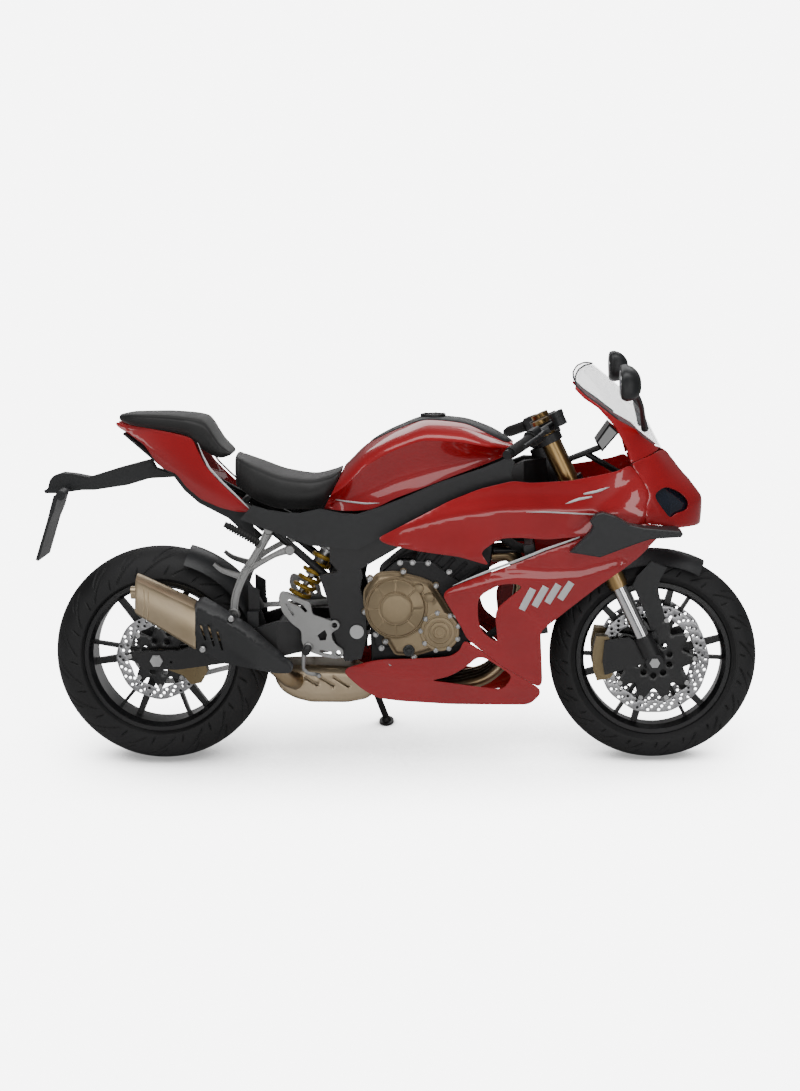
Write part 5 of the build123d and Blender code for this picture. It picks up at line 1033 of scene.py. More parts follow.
def stripe(name, bands, carry):
    """Bands cut from film: each outline is triangulated flat and carried to the surface on both flanks."""
    sets = []
    for band in bands:
        flat, faces = sheet(band, spacing=9)
        sets += both_flanks(carry(flat), faces)
    walled(name, *sets[0], *WHITE_FILM, "root", wall=FILM_WALL, offset=1.0, edge=0, extra=sets[1:])


def on_fairing(xz, lift=0.6):
    """Side-view points carried to the pressed skin of the fairing."""
    u = on_skin(xz[:, 0], xz[:, 1])
    points = skin_point(u[:, 0] / U_SCALE, xz[:, 1])
    points[:, 1] -= pressed(points[:, [0, 2]]) * np.clip(-points[:, 1] / 60, 0, 1) + lift
    return points


stripe("fairing_stripes", [
    ribbon([(858, 542), (905, 562), (965, 586), (1048, 617), (1121, 647), (1215, 679)], 7.0, (0.2, 0.6)),
    ribbon([(1262, 742), (1190, 748), (1120, 752), (1065, 752)], 4.0, (1.0, 0.2)),
    ribbon([(1175, 774), (1212, 786), (1250, 792)], 7.0, (0.1, 0.6)),
    ribbon([(1226, 800), (1262, 806), (1300, 818)], 7.0, (0.6, 0.1)),
    ribbon([(1392, 690), (1425, 694), (1450, 690)], 8.0, (0.3, 0.2)),
    # Plain slanted bars low on the flank.
    *[
        ribbon([(1052 + 36 * k, 470 + 10 * k), (1084 + 36 * k, 532 + 6 * k)], 20.0, (0.96, 0.96))
        for k in range(4)
    ],
], on_fairing)
stripe(
    "tail_stripes",
    [ribbon([(126, 940), (140, 906), (160, 868), (196, 830), (236, 792), (276, 752)], 6.0, (0.2, 0.5))],
    lambda xz: tail_skin(xz, 0.6)
)


def on_tank(xz, lift=0.7):
    """Points of the side view carried to the tank's flank: the section's lower face at that x."""
    bottom, low, crease, wide, *_ = smooth_through(xz[:, 0], TANK[:, 0], TANK[:, 1:]).T
    b = np.clip((crease - xz[:, 1]) / (crease - bottom), 0, 1)
    y = wide + (low - wide) * b - 14 * np.sin(b * math.pi) * (wide > 100)
    return upright(xz, -y - lift)


stripe("tank_stripes", [ribbon([(520, 772), (560, 768), (610, 764), (648, 766)], 5.0, (0.6, 0.2))], on_tank)


# Screen: a blown bubble of pale smoked acrylic, 3 mm thick, over a red surround that carries it
# and the mirrors. A level section is an arc. Columns: height, front, where the side ends, half-width.
BUBBLE = np.array(
    [
        (870, 1479.6, 1330, 179.6), (925, 1448.6, 1300, 169.6), (1000, 1408, 1250, 150),
        (1080, 1342, 1200, 122), (1152, 1258, 1150, 84)
    ],
    float
)


def bubble_row(z):
    """At each height: the front, the arc's radius (w^2 + sag^2) / (2 sag) and its half-angle."""
    front, back, half = smooth_through(z, BUBBLE[:, 0], BUBBLE[:, 1:]).T
    sag = front - back
    radius = (half**2 + sag**2) / 2 / sag
    return front, radius, np.where(sag > radius, math.pi - np.arcsin(half / radius), np.arcsin(half / radius))


def bubble_point(q, z, lift=0.0):
    """x = front - R + R cos t, y = R sin t, with t = q times the arc's half-angle."""
    front, radius, widest = bubble_row(z)
    t = q * widest
    return np.stack([front - radius + (radius + lift) * np.cos(t), (radius + lift) * np.sin(t), z], 1)


def on_bubble(xz):
    """The share q of the arc at which the right side has that x."""
    front, radius, widest = bubble_row(xz[:, 1])
    return -np.arccos(np.clip((xz[:, 0] - front + radius) / radius, -1, 1)) / widest


Q_SCALE = 170.0


def bubble_piece(right_edge, closes_at_middle, lift=0.0):
    """Triangles of a piece of the bubble, from its right edge in the side view, mirrored about the middle."""
    edge = resampled(right_edge, 9.0)
    rim = np.stack([on_bubble(edge) * Q_SCALE, edge[:, 1]], 1)
    if closes_at_middle:
        loop = np.concatenate([rim, (rim * (-1, 1))[::-1]])
        flat, faces = sheet(loop, spacing=10)
        return [(bubble_point(flat[:, 0] / Q_SCALE, flat[:, 1], lift), faces)]
    flat, faces = sheet(rim, spacing=10)
    return list(both_flanks(bubble_point(flat[:, 0] / Q_SCALE, flat[:, 1], lift), faces))


SCREEN_EDGE = [
    (1449, 912), (1395, 952), (1375, 974), (1325, 1002), (1275, 1042), (1236, 1070), (1208, 1098),
    (1206, 1120), (1216, 1140), (1236, 1151), (1258, 1152)
]
first, *_ = bubble_piece(SCREEN_EDGE, True)
SMOKE = see_through("smoke", "smoked_screen", (0.30, 0.31, 0.33), 0.03, 0.30)
walled("screen", *first, *SMOKE, "root", ["windscreen"], wall=0.003, edge=0.0008)
SURROUND_RIM = [
    (1361, 881), (1350, 923), (1316, 985), (1272, 1034), (1230, 1062), (1203, 1090), (1207, 1096),
    (1236, 1068), (1275, 1040), (1325, 1000), (1375, 972), (1395, 950), (1447, 911), (1400, 893), (1361, 881)
]
first, second = bubble_piece(SURROUND_RIM[:-1] + [(1363, 881.5)], False, 0.8)
walled("screen_frame", *first, *RED_PAINT, "root", ["screen_surround"], wall=0.004, extra=[second])
edge = resampled(SCREEN_EDGE[3:], 8.0)
trim = np.stack([on_bubble(edge), edge[:, 1]], 1)
trim = np.concatenate([trim, (trim * (-1, 1))[::-1]])
spine = bubble_point(trim[:, 0], trim[:, 1])


def tube_along(spine, radius, sides=10):
    """A round bar along a path: at each point a circle in the plane square to the path, ends drawn to the
    axis."""
    spine = np.asarray(spine, float)
    radius = np.broadcast_to(np.asarray(radius, float), (len(spine),))
    run = np.gradient(spine, axis=0)
    run /= np.linalg.norm(run, axis=1)[:, None]
    along = np.abs(run[:, 0])
    lead = (1.0, 0.0, 0.0) if along[0] < 0.9 and np.all(along < 0.98) else (0.0, 0.0, 1.0)
    side = np.cross(run, lead)
    side /= np.linalg.norm(side, axis=1)[:, None]
    up = np.cross(side, run)
    t = np.linspace(0, 2 * math.pi, sides, endpoint=False)
    grid = spine[:, None] + radius[:, None, None] * (
        np.cos(t)[None, :, None] * side[:, None] + np.sin(t)[None, :, None] * up[:, None]
    )
    return poled(grid), False, True


joined("screen_edge_trim", [tube_along(spine, 2.2, 8)], *SATIN_BLACK, "root")


def curved(points, count=40):
    """A smooth path through points: Catmull-Rom on the chord lengths."""
    points = np.asarray(points, float)
    at = np.concatenate([[0], np.cumsum(np.linalg.norm(np.diff(points, axis=0), axis=1))])
    slope = np.gradient(points, at, axis=0)
    s = np.linspace(0, at[-1], count)
    i = np.clip(np.searchsorted(at, s) - 1, 0, len(at) - 2)
    h = (at[i + 1] - at[i])[:, None]
    t = ((s - at[i]) / h[:, 0])[:, None]
    return hermite(t, h, points[i], points[i + 1], slope[i], slope[i + 1])


# Mirrors: moulded black pods on forged stems that are bolted through the screen's surround.
def pod(side):
    """Superellipse sections |y/a|^n + |z/b|^n = 1 along x, that swell from the glass and close to a soft
    nose."""
    t = np.linspace(0, 2 * math.pi, 56, endpoint=False)[None, :]
    depth = np.array([0, 0, 2, 8, 16, 26, 36, 44, 50, 54, 56, 56], float)[:, None]
    wide = np.array([0, 66, 71, 74, 75, 73, 68, 61, 52, 40, 24, 0], float)[:, None]
    tall = np.array([0, 37, 42, 45, 46, 44, 40, 34, 27, 20, 12, 0], float)[:, None]
    shape = lambda a: np.sign(a) * np.abs(a) ** 0.62
    y = wide * shape(np.cos(t)) + side * 362 - side * 6 * (depth / 56)
    z = tall * shape(np.sin(t)) + 1122 - 6 * (depth / 56) - 0.10 * (y - side * 362) * side
    return np.stack([1322 + depth + 0 * t, y, z], -1), False, True


def stem(side):
    """The bar from the screen's surround to the pod, waisted in the middle."""
    path = curved(
        [
            (1404, side * 92, 970.5), (1396, side * 150, 1004), (1384, side * 235, 1052),
            (1360, side * 300, 1094), (1344, side * 330, 1104)
        ]
    )
    return tube_along(path, np.interp(np.linspace(0, 1, 40), [0, 0.1, 0.4, 1], [11, 9, 7, 8]), 14)


joined("mirror_pods", [pod(1), pod(-1), stem(1), stem(-1)], *SATIN_BLACK, "root", ["mirrors"], crisp=50)
glass = [
    turned([(1321.2, 0), (1321.2, 1), (1322.4, 1.0), (1322.4, 0)], (0, s * 362, 1122), 40, "x")
    for s in (1, -1)
]
for grid, _, _ in glass:
    grid[..., 1] = (
        grid[..., 1] - np.sign(grid[..., 1].mean()) * 362
    ) * 60 + np.sign(grid[..., 1].mean()) * 362
    grid[..., 2] = (grid[..., 2] - 1122) * 33 + 1122
joined("mirror_glasses", glass, *CHROME, "root")


# Engine covers: sand-cast aluminium in bronze paint, drafted for the mould, with screw lugs
# round the joint face. The clutch's dome has eight shallow radial grooves round a plain boss.
def inset(outline, distance):
    """Moves each point of a closed outline inwards along the mean of its two edge normals."""
    p = np.asarray(outline, float)
    run = np.roll(p, -1, 0) - np.roll(p, 1, 0)
    inward = np.stack([-run[:, 1], run[:, 0]], 1) / np.linalg.norm(run, axis=1)[:, None]
    area = np.sum(p[:, 0] * np.roll(p[:, 1], -1) - p[:, 1] * np.roll(p[:, 0], -1))
    return p + inward * distance * np.sign(area)


def cast(outline, steps, holes=(), spacing=None):
    """A closed casting: rows (y, inset) of one outline are joined by walls, and the first and last are
    capped."""
    rows = [inset(outline, d) for _, d in steps]
    count = len(rows[0])
    wall = np.concatenate([upright(r, y) for (y, _), r in zip(steps, rows)])
    k, j = np.meshgrid(np.arange(len(steps) - 1), np.arange(count), indexing="ij")
    a, b = (k * count + j).ravel(), (k * count + (j + 1) % count).ravel()
    sides = np.concatenate([np.stack([a, b, b + count], 1), np.stack([a, b + count, a + count], 1)])
    sets = [(wall, sides)]
    for (y, _), row in ((steps[0], rows[0]), (steps[-1], rows[-1])):
        flat, faces = sheet(row, holes, spacing=spacing)
        sets.append((upright(flat, y), faces))
    for hole in holes:
        hole = np.asarray(hole, float)
        n = len(hole)
        ends = [upright(hole, y) for y in (steps[0][0], steps[-1][0])]
        j = np.arange(n)
        i = (j + 1) % n
        sets.append(
            (
                np.concatenate(ends),
                np.concatenate([np.stack([j, i, i + n], 1), np.stack([j, i + n, j + n], 1)])
            )
        )
    return sets


def quads(grid, wrap_rows, wrap_cols):
    """A point grid as (points, triangles)."""
    corners = grid_faces(*grid.shape[:2], wrap_rows, wrap_cols)
    return grid.reshape(-1, 3), np.concatenate([corners[:, [0, 1, 2]], corners[:, [0, 2, 3]]])


def studs(profile, spots, around):
    """The same turned section, square to the middle plane, at each side-view spot (x, z)."""
    return [quads(*turned(profile, (x, 0, z), around)) for x, z in spots]


def bar(spine, radius, sides):
    """A round bar as (points, triangles)."""
    return quads(*tube_along(spine, radius, sides))


def solid(name, sets, material, slot, body, stands_for=(), crisp=32.0):
    """A piece of closed sets that need no wall of their own."""
    return walled(
        name, *sets[0], material, slot, body, stands_for, wall=0, edge=0, crisp=crisp, extra=sets[1:]
    )


COVER_FACE = -150.5
CLUTCH_COVER = eased([
    (622, 552), (600, 520), (600, 474), (614, 443), (640, 413), (662, 378), (688, 332), (745, 328),
    (793, 342), (858, 366), (874, 398), (870, 424), (834, 487), (798, 543), (768, 556), (691, 576),
    (640, 571),
], 7, 2)
CLUTCH_AT, SMALL_AT, OIL_CAP_AT = (695.0, 472.0), (819.0, 403.0), (730.0, 349.0)
DOME = [
    (-172, 90), (-180, 90), (-182.5, 88.5), (-183, 86), (-180.5, 84.5), (-180.5, 82.5), (-184, 81.5),
    (-187, 79), (-189.5, 70), (-192, 60), (-194, 50), (-192.5, 47), (-192.5, 45.5), (-196, 44), (-198, 41),
    (-198.6, 36), (-198.9, 18), (-199, 0),
]
dome, *_ = turned(DOME, (CLUTCH_AT[0], 0, CLUTCH_AT[1]), 192)
angle = np.linspace(0, 2 * math.pi, 192, endpoint=False)[None, :]
radius = np.array([r for _, r in DOME], float)[:, None]
grooves = np.clip(1.6 - np.abs((angle * 8 / 2 / math.pi + 0.5) % 1 - 0.5) * 2 * math.pi * 60 / 8 / 1.6, 0, 1)
dome[..., 1] += 1.8 * grooves * ((radius > 48) & (radius < 80))
SMALL_DOME = [
    (-172, 56), (-183, 56), (-185, 54), (-185, 47), (-183.5, 46), (-183.5, 43), (-187, 42), (-187.5, 34),
    (-185.5, 33), (-185.5, 29), (-189.5, 28), (-190.5, 20), (-188.5, 19), (-188.5, 16), (-191.5, 15),
    (-191.5, 10), (-190, 9), (-190, 0),
]
OTHER_DOME = [
    (150.5, 0), (150.5, 80), (172, 80), (176, 77), (178, 70), (176, 66), (176, 62), (184, 56), (188, 46),
    (188.5, 20), (188.5, 0)
]
lugs = resampled(np.concatenate([inset(CLUTCH_COVER, -3), inset(CLUTCH_COVER, -3)[:1]]), 92.0)[:-1]
LUG = [(COVER_FACE, 0), (COVER_FACE, 10.5), (-161, 9.5), (-163, 8), (-163, 0)]
SCREW = [
    (-162, 0), (-162, 8.0), (-164, 8.0), (-164.5, 6.2), (-169.5, 6.2), (-171, 5.0), (-171, 3.4),
    (-167.5, 3.0), (-167.5, 0)
]
small_lugs = ring(54, 9, SMALL_AT, 0.3)
BRONZE_COVER = finish(
    "bronze_cover", "bronze_engine_paint", ((0.30, 0.23, 0.14), (0.38, 0.29, 0.18)), (0.36, 0.46), metal=0.75,
    grain=900, depth=0.15
)
solid("engine_castings", [
    *cast(
        CLUTCH_COVER,
        [
            (COVER_FACE, 0), (-160, 0), (-161.5, 1.0), (-163, 5), (-170, 10), (-177, 13), (-179.5, 16),
            (-180, 22)
        ],
        spacing=18
    ),
    quads(dome, False, True),
    *studs(SMALL_DOME, [SMALL_AT], 96),
    *studs(OTHER_DOME, [(800, 418)], 96),
    *studs(LUG, lugs, 20),
    *studs([(-176, 0), (-176, 8), (-183, 7), (-184, 6), (-184, 0)], small_lugs, 18),
    *studs([(-178, 0), (-178, 15), (-186, 13), (-187, 11), (-187, 0)], [(790, 502), (760, 528)], 24),
], *BRONZE_COVER, "root", ["engine_covers"], crisp=30)
outer_screw = [(y - 20, r) for y, r in SCREW]
solid("engine_screws", studs(SCREW, lugs, 18) + studs(outer_screw, small_lugs, 18), *STEEL, "root", crisp=30)
OIL_CAP = [(-178, 0), (-178, 17), (-188, 16), (-190, 14), (-190, 9), (-196, 8), (-197, 6), (-197, 0)]
solid("oil_filler", studs(OIL_CAP, [OIL_CAP_AT], 72), *SATIN_BLACK, "root")


# Crankcase, cylinders and head: dark castings with cooling ribs, a cam cover, a starter bulge
# and the screws of their joints, behind the covers and through the fairing's windows.
case_walls = [
    cast(eased(outline, 12, 1), [(side * near, 2), (side * (far - 3), 0), (side * far, 3)])
    for side in (1, -1)
    for outline, near, far in (
        (
            [
                (618, 300), (615, 470), (642, 558), (700, 606), (800, 598), (903, 518), (903, 330),
                (868, 264), (652, 264)
            ],
            0, 106
        ),
        ([(630, 354), (630, 546), (700, 604), (800, 598), (903, 518), (903, 354)], 104, 149),
        ([(722, 562), (771, 638), (869, 688), (973, 648), (958, 560), (898, 472)], 0, 132),
        ([(876, 690), (972, 652), (996, 668), (986, 700), (908, 730), (880, 722)], 20, 128),
    )
]
fins = []
for k in range(6):
    low = np.array([742 + 26 * k, 568 - 14 * k])
    high = low + np.array([48 + 9 * k, 62 + 2 * k])
    for side in (1, -1):
        spine = np.array(
            [
                (low[0], side * 140, low[1]), ((low[0] + high[0]) / 2, side * 141, (low[1] + high[1]) / 2),
                (high[0], side * 140, high[1])
            ]
        )
        fins.append(bar(curved(spine, 10), 5.5, 10))
HOSES = [
    ([(700, -120, 612), (740, -138, 634), (800, -140, 640), (858, -136, 626), (896, -128, 640)], 9.0),
    ([(676, -128, 598), (700, -140, 622), (752, -142, 652), (812, -138, 668)], 6.0),
    ([(1080, -120, 628), (1040, -134, 640), (1000, -140, 668), (960, -132, 700)], 13.0),
    ([(1064, -126, 470), (1020, -136, 430), (976, -138, 396), (940, -130, 372)], 11.0),
    ([(640, -128, 300), (680, -134, 286), (750, -130, 282), (820, -124, 290)], 8.0),
]
hoses = [bar(curved(path, 36), r, 16) for path, r in HOSES]
ENGINE_ALLOY = finish(
    "engine_alloy", "dark_casting", ((0.020, 0.020, 0.021), (0.045, 0.045, 0.046)), (0.42, 0.58), metal=0.5,
    grain=500, depth=0.4
)
solid(
    "engine_cases", [s for wall in case_walls for s in wall] + fins, *ENGINE_ALLOY, "root", ["engine_block"],
    crisp=35
)
solid("engine_hoses", hoses, *GRIP_RUBBER, "root")
spots = [
    (706, 597), (742, 598), (786, 596), (846, 570), (640, 440), (634, 390), (650, 350), (676, 306),
    (880, 500), (892, 452), (893, 404)
]
CASE_SCREW = [(-148, 0), (-148, 8.5), (-151, 8.5), (-151.5, 6.4), (-158, 6.4), (-159, 5), (-159, 0)]
solid("case_screws", studs(CASE_SCREW, spots, 16), *STEEL, "root", crisp=30)
# Throttle bodies show as a bronze casting in the upper window.
THROTTLES_AT = (1006, 716)
THROTTLE_HALF = [(-150, 0), (-150, 16), (-146, 26), (-120, 30)]
solid("throttle_bodies", [
    *studs(
        [(s * y, r) for s, half in ((1, THROTTLE_HALF), (-1, THROTTLE_HALF[::-1])) for y, r in half],
        [THROTTLES_AT], 32
    ),
    *[
        studs([(y - 8, 0), (y - 8, 34), (y + 8, 34), (y + 8, 0)], [THROTTLES_AT], 32)[0]
        for y in (-128, -90, 90, 128)
    ],
], *CALIPER_BRONZE, "root")


# Exhaust: a short pressed-steel muffler in champagne paint with a sharp roof line, a black heat
# shield with cooling slots over its front, four bent header pipes and a box under the engine.
def slot_hole(start, end, radius, count=7):
    """Outline of a slot: two half circles about its ends."""
    a, b = np.asarray(start, float), np.asarray(end, float)
    way = math.atan2(*(b - a)[::-1])
    t = np.linspace(-math.pi / 2, math.pi / 2, count)
    far = b + radius * np.stack([np.cos(t + way), np.sin(t + way)], 1)
    near = a + radius * np.stack([np.cos(t + way + math.pi), np.sin(t + way + math.pi)], 1)
    return np.concatenate([far, near])


def boxed(corners, side_y, roof_y, inner_y, roof_share, cols=40):
    """A muffler shell from four side-view corners: round the section y and height follow a rounded wedge with
    a roof edge."""
    back_top, front_top, front_low, back_low = (np.array(c, float) for c in corners)
    s = np.linspace(0, 1, cols)[None, :, None]
    top, low = back_top + (front_top - back_top) * s[0], back_low + (front_low - back_low) * s[0]
    # Section stops: (height share, y), from the inner roof edge over the roof, down the side, and back under.
    stops = np.array(
        [
            (0.93, inner_y), (0.99, inner_y - 8), (1.0, roof_y + 16), (0.985, roof_y),
            (roof_share, side_y + 3), (roof_share - 0.07, side_y), (0.30, side_y - 1), (0.06, side_y + 3),
            (0.0, side_y + 12), (0.0, inner_y - 12), (0.05, inner_y)
        ]
    )
    h, y = stops[:, 0], stops[:, 1]
    points = low[None] + (top - low)[None] * h[:, None, None]
    grid = np.stack([points[..., 0], np.broadcast_to(y[:, None], points.shape[:2]), points[..., 1]], -1)
    middle = grid.mean(0)
    shrink = np.where((s[0, :, 0] < 0.012) | (s[0, :, 0] > 0.988), 0.97, 1.0)
    return middle + (grid - middle) * shrink[None, :, None]


muffler = boxed(
    [(-44, 575), (126, 496), (122, 356), (-50, 462)], side_y=-212, roof_y=-186, inner_y=-154, roof_share=0.86
)


def capped(grid):
    """A tube of sections whose two open ends are closed by a fan to their middles."""
    return quads(poled(grid.swapaxes(0, 1)).swapaxes(0, 1), True, False)


ridges = []
for x in (-20, -8):
    top, low = np.array([x - 2, 548 - 0.46 * (x + 44)]), np.array([x - 6, 474 - 0.62 * (x + 50)])
    spine = np.array(
        [
            (top[0], -212.5, top[1]), ((top[0] + low[0]) / 2 + 3, -213, (top[1] + low[1]) / 2),
            (low[0], -212.5, low[1])
        ]
    )
    ridges.append(bar(curved(spine, 16), 1.6, 8))
MOUTH = [(-46, 15.0), (-62, 15.0), (-62, 18.5), (-40, 18.5)]
mouth, *_ = turned(MOUTH, (0, -184, 520), 36, "x")
CHAMPAGNE = finish(
    "champagne", "champagne_satin", ((0.47, 0.37, 0.24), (0.56, 0.45, 0.31)), (0.30, 0.40), metal=0.85,
    grain=1200, depth=0.08
)
solid(
    "muffler_shell", [capped(muffler), *ridges, quads(mouth, False, True)], *CHAMPAGNE, "root", ["muffler"],
    crisp=28
)
SHIELD = [
    (125, 497), (146, 508), (196, 478), (276, 424), (340, 366), (402, 308), (392, 286), (350, 288),
    (300, 300), (246, 309), (196, 317), (121, 356)
]
SLOTS = [
    slot_hole((139, 427), (151, 388), 3.2), slot_hole((161, 427), (175, 370), 3.2),
    slot_hole((186, 408), (199, 358), 3.2)
]
shield_line = eased(SHIELD, 8, 1)
folds = [curved([(132, 476, 0), (200, 444, 0), (262, 402, 0), (330, 350, 0), (388, 300, 0)], 30)[:, :2]]
flat, faces = sheet(shield_line, SLOTS, folds, spacing=9)
roof = np.interp(flat[:, 0], [125, 200, 262, 330, 402], [480, 446, 404, 352, 296])
over = np.clip((flat[:, 1] - roof) / 30, 0, 1)
under = np.clip((roof - 70 - flat[:, 1]) / 60, 0, 1)
lie = -213.5 + 36 * over**1.2 + 16 * under**1.5 + 22 * np.clip((flat[:, 0] - 300) / 100, 0, 1) ** 1.3
walled(
    "heat_shield", upright(flat, lie), faces, *SATIN_BLACK, "root", ["muffler_shield"], wall=0.004, edge=0.001
)
inner_pipe = curved(
    [
        (120, -180, 426), (200, -176, 400), (280, -170, 350), (350, -160, 296), (380, -140, 262),
        (400, -110, 246)
    ],
    40
)
SHIELD_SCREW = [(-209, 0), (-209, 8), (-212, 10), (-217, 9), (-219, 7), (-219, 4), (-216, 4), (-216, 0)]
solid(
    "shield_screws",
    [quads(*turned(SHIELD_SCREW, (x, dy, z), 24)) for x, z, dy in ((225, 446, 8), (143, 360, -1))], *STEEL,
    "root"
)
EXHAUST_ROUTE = [
    (968, 606), (1020, 604), (1046, 560), (1044, 470), (1036, 372), (1000, 296), (950, 250), (880, 228),
    (760, 222), (618, 222)
]
pipes = []
for row, y in enumerate((-72.0, -27.0, 18.0, 63.0)):
    way = curved([(x, y + 6 * math.sin((606 - z) / 100) * (1 - row / 1.5), z) for x, z in EXHAUST_ROUTE], 90)
    pipes.append(bar(way, 18.0, 24))
HEADER_STEEL = finish(
    "header_steel", "heated_steel", ((0.30, 0.21, 0.11), (0.42, 0.33, 0.22)), (0.28, 0.42), metal=1.0,
    grain=400, depth=0.08, cloud_size=9
)
solid("header_pipes", [*pipes, bar(inner_pipe, 25.0, 24)], *HEADER_STEEL, "root", ["exhaust_headers"])

UNDER_BOX = [
    (336, 288), (334, 262), (338, 240), (353, 216), (372, 202), (396, 190), (439, 179), (545, 178),
    (600, 188), (622, 204), (626, 240), (604, 258), (560, 284), (440, 290)
]
box_slots = [
    slot_hole((425, 254), (459, 233), 4.5), slot_hole((468, 254), (506, 231), 4.5),
    slot_hole((509, 254), (550, 229), 4.5)
]
box_line = eased(UNDER_BOX, 8, 1)
flat, faces = sheet(box_line, box_slots, spacing=9)
edge_fall = np.min(np.linalg.norm(flat[:, None] - box_line[None], axis=2), 1)
puff = 16 * (1 - np.clip(1 - edge_fall / 26, 0, 1) ** 2.4)
outer = upright(flat, -82 - puff)
walled("under_box_cover", outer, faces, *CHAMPAGNE, "root", wall=0.003, edge=0.0006)
solid("under_box", [
    *cast(inset(box_line, 1.5), [(-80, 0), (60, 0), (76, 6), (83, 16)]),
], *CHAMPAGNE, "root", ["exhaust_box"])


# Passenger's hangers: silver castings, I-shaped in section, with a hinge knuckle for the folding
# rest and an eye that carries the muffler. The rests are rubber-faced and ribbed.
HANGER_ARMS = [
    ([(330, -130, 694), (316, -131, 664), (290, -132, 620), (262, -132, 574)], (11, 10, 10, 12)),
    ([(392, -130, 636), (352, -131, 622), (310, -132, 600), (262, -132, 572)], (12, 8, 8, 11)),
    ([(262, -132, 574), (246, -133, 540), (232, -134, 500), (226, -134, 452)], (13, 12, 12, 12)),
    ([(170, -130, 594), (190, -131, 578), (220, -132, 566), (252, -132, 556)], (5, 7, 8, 10)),
]


def forged(path, halves, depth, count=30):
    """A forged bar: a rounded box section, wide by its half-widths along the path and deep across y, waisted
    in the middle."""
    spine = curved(path, count)
    half = np.interp(np.linspace(0, 1, count), np.linspace(0, 1, len(halves)), halves)
    run = np.gradient(spine, axis=0)
    run /= np.linalg.norm(run, axis=1)[:, None]
    up = np.cross(run, (0, 1, 0))
    up /= np.linalg.norm(up, axis=1)[:, None]
    # Section stops: share of the half-width, share of the depth; the web is set in between two rims.
    stops = np.array(
        [
            (-1, -0.7), (-0.9, -1), (-0.62, -1), (-0.5, -0.62), (0.5, -0.62), (0.62, -1), (0.9, -1),
            (1, -0.7), (1, 0.7), (0.9, 1), (-0.9, 1), (-1, 0.7)
        ]
    )
    grid = (
        spine[None] + stops[:, 0][:, None, None] * (up * half[:, None])[None]
        + stops[:, 1][:, None, None] * np.array([0, depth, 0])
    )
    return capped(grid)


def mirrored(sets):
    """The same sets on the other side of the bike, with their faces turned round."""
    return [(p * (1, -1, 1), np.asarray(f)[:, ::-1]) for p, f in sets]


EYE = [
    (-144, 0), (-144, 6), (-142, 7), (-142, 11), (-144, 13), (-144, 17), (-141, 19), (-127, 19), (-125, 17),
    (-125, 0)
]
one_side = [
    *[forged(path, halves, 7.5) for path, halves in HANGER_ARMS],
    *studs(EYE, [(225, 447)], 32),
    *studs(
        [(-141, 0), (-141, 12), (-139, 14), (-125, 14), (-124, 12), (-124, 0)], [(330, 692), (390, 632)], 28
    ),
    bar(np.array([(298, -128, 648), (300, -146, 654)]), 10, 20),
]
CAST_ALLOY = finish(
    "cast_alloy", "silver_casting", ((0.30, 0.30, 0.295), (0.40, 0.40, 0.395)), (0.36, 0.48), metal=0.85,
    grain=700, depth=0.2
)
solid("passenger_hangers", one_side + mirrored(one_side), *CAST_ALLOY, "root", ["pillion_hangers"], crisp=30)
rest = []
for k in range(12):
    share = k / 12
    a = np.array([300, -146, 656]) + np.array([-86, -8, 52]) * share
    b = a + np.array([-86, -8, 52]) / 12 * 0.72
    rest.append(bar(np.stack([a, (a + b) / 2, b]), [10.5, 11.5, 10.5], 14))
rest.append(bar(curved([(302, -145, 655), (260, -150, 682), (206, -154, 712)], 12), 8.5, 16))
solid("passenger_rests", rest + mirrored(rest), *GRIP_RUBBER, "root")

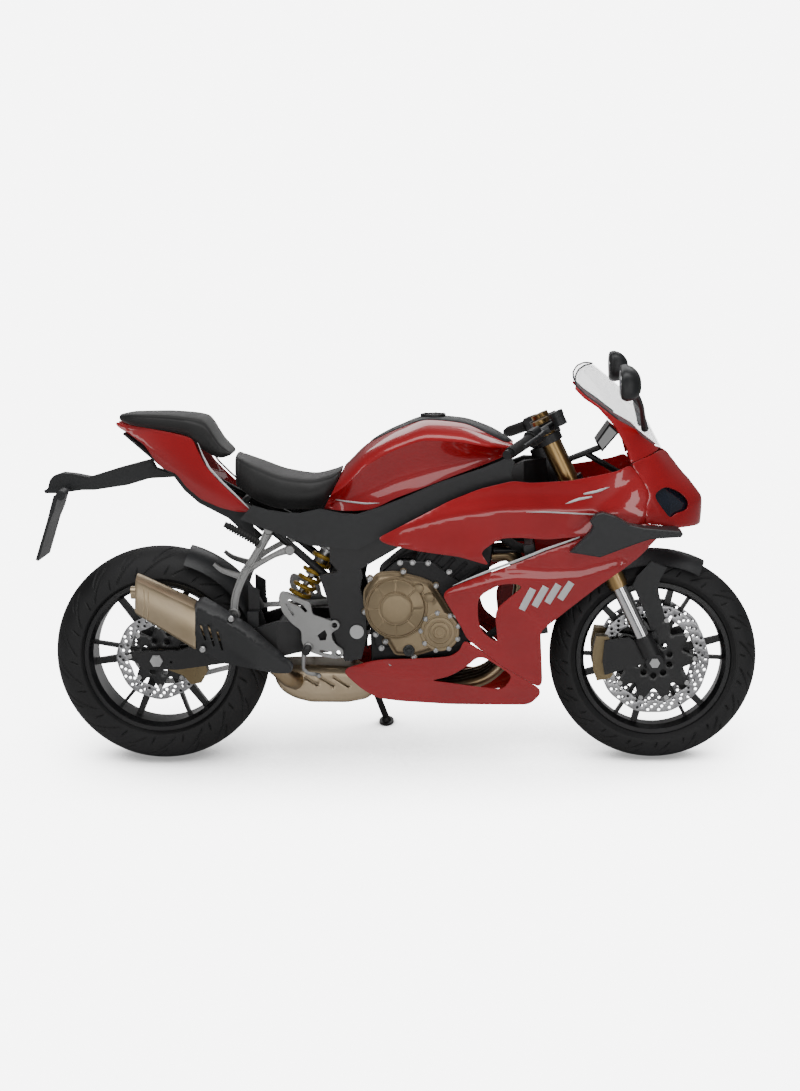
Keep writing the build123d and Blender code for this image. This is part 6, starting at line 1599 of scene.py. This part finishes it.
# Rider's heel plates: pierced silver plates on two bolts, with a knurled rest and a pedal.
HEEL = [
    (358, 494), (362, 516), (372, 522), (409, 503), (450, 487), (456, 452), (472, 447), (508, 434),
    (524, 432), (531, 420), (524, 407), (508, 398), (512, 378), (524, 362), (540, 352), (544, 338),
    (535, 326), (520, 323), (489, 328), (452, 341), (430, 352), (422, 376), (422, 405), (392, 429), (368, 460)
]
BOLTS = [(518, 421), (528, 340)]
PIERCED = [
    [(384, 492), (392, 498), (428, 480), (442, 462), (434, 458), (420, 474), (398, 484)],
    [(378, 484), (386, 484), (404, 452), (398, 448)],
    [(468, 392), (490, 408), (496, 394), (492, 378), (476, 376)],
    slot_hole((478, 346), (504, 340), 4),
    ring(8.5, 20, BOLTS[0]),
    ring(7.5, 20, BOLTS[1]),
]
plate_sets = cast(eased(HEEL, 6, 1), [(-164, 0.8), (-166, 0), (-171, 0), (-172.5, 0.8)], PIERCED)
BOSS = [(-150, 6.5), (-150, 10), (-163, 14), (-174, 14), (-175, 12.5), (-175, 8.5), (-168, 6.5)]
bosses = studs(BOSS, BOLTS, 32)
PEDAL_PIVOT = (442, 358)
pedal = [
    bar(
        curved([(446, -176, 366), (432, -180, 346), (428, -182, 318), (428, -183, 296)], 20),
        np.linspace(10, 5, 20), 18
    ),
    bar(
        curved(
            [(428, -183, 296), (440, -184, 285), (462, -186, 281), (474, -198, 281), (474, -214, 281)], 24
        ),
        5.5, 16
    ),
    *studs([(-172, 0), (-172, 15), (-186, 13), (-188, 11), (-188, 0)], [PEDAL_PIVOT], 32),
]
solid(
    "heel_plate_castings", plate_sets + bosses + pedal + mirrored(plate_sets + bosses + pedal), *CAST_ALLOY,
    "root", ["heel_plates"], crisp=30
)
knurls = [(-188 - 4 * k - 2 * crest, 11 if crest else 9.4) for k in range(16) for crest in (0, 1)]
rests = studs([(-186, 0), (-186, 9), *knurls, (-252, 9), (-252, 0)], [PEDAL_PIVOT], 24)
solid("rider_rests", rests + mirrored(rests), *ENGINE_ALLOY, "root", crisp=30)

# Shock: a gold coil spring wound from round wire, over a black damper.
FOOT, HEAD = np.array([378.0, 0, 446]), np.array([512.0, 0, 650])
way = (HEAD - FOOT) / np.linalg.norm(HEAD - FOOT)
beside = np.cross(way, (0, 1, 0))
s = np.linspace(0, 1, 6 * 40)
coil = FOOT + np.outer(36.8 + 156 * s, way) + 28.5 * (
    np.cos(s * 12 * math.pi)[:, None] * np.array([0, 1, 0]) + np.sin(s * 12 * math.pi)[:, None] * beside
)
SPRING_GOLD = finish(
    "spring_gold", "gold_spring_paint", ((0.58, 0.34, 0.03), (0.68, 0.42, 0.05)), (0.28, 0.38), metal=0.4,
    coat=0.4, grain=600, depth=0.05
)
solid("coil_spring", [bar(coil, 6.3, 14)], *SPRING_GOLD, "root", ["shock_spring"])
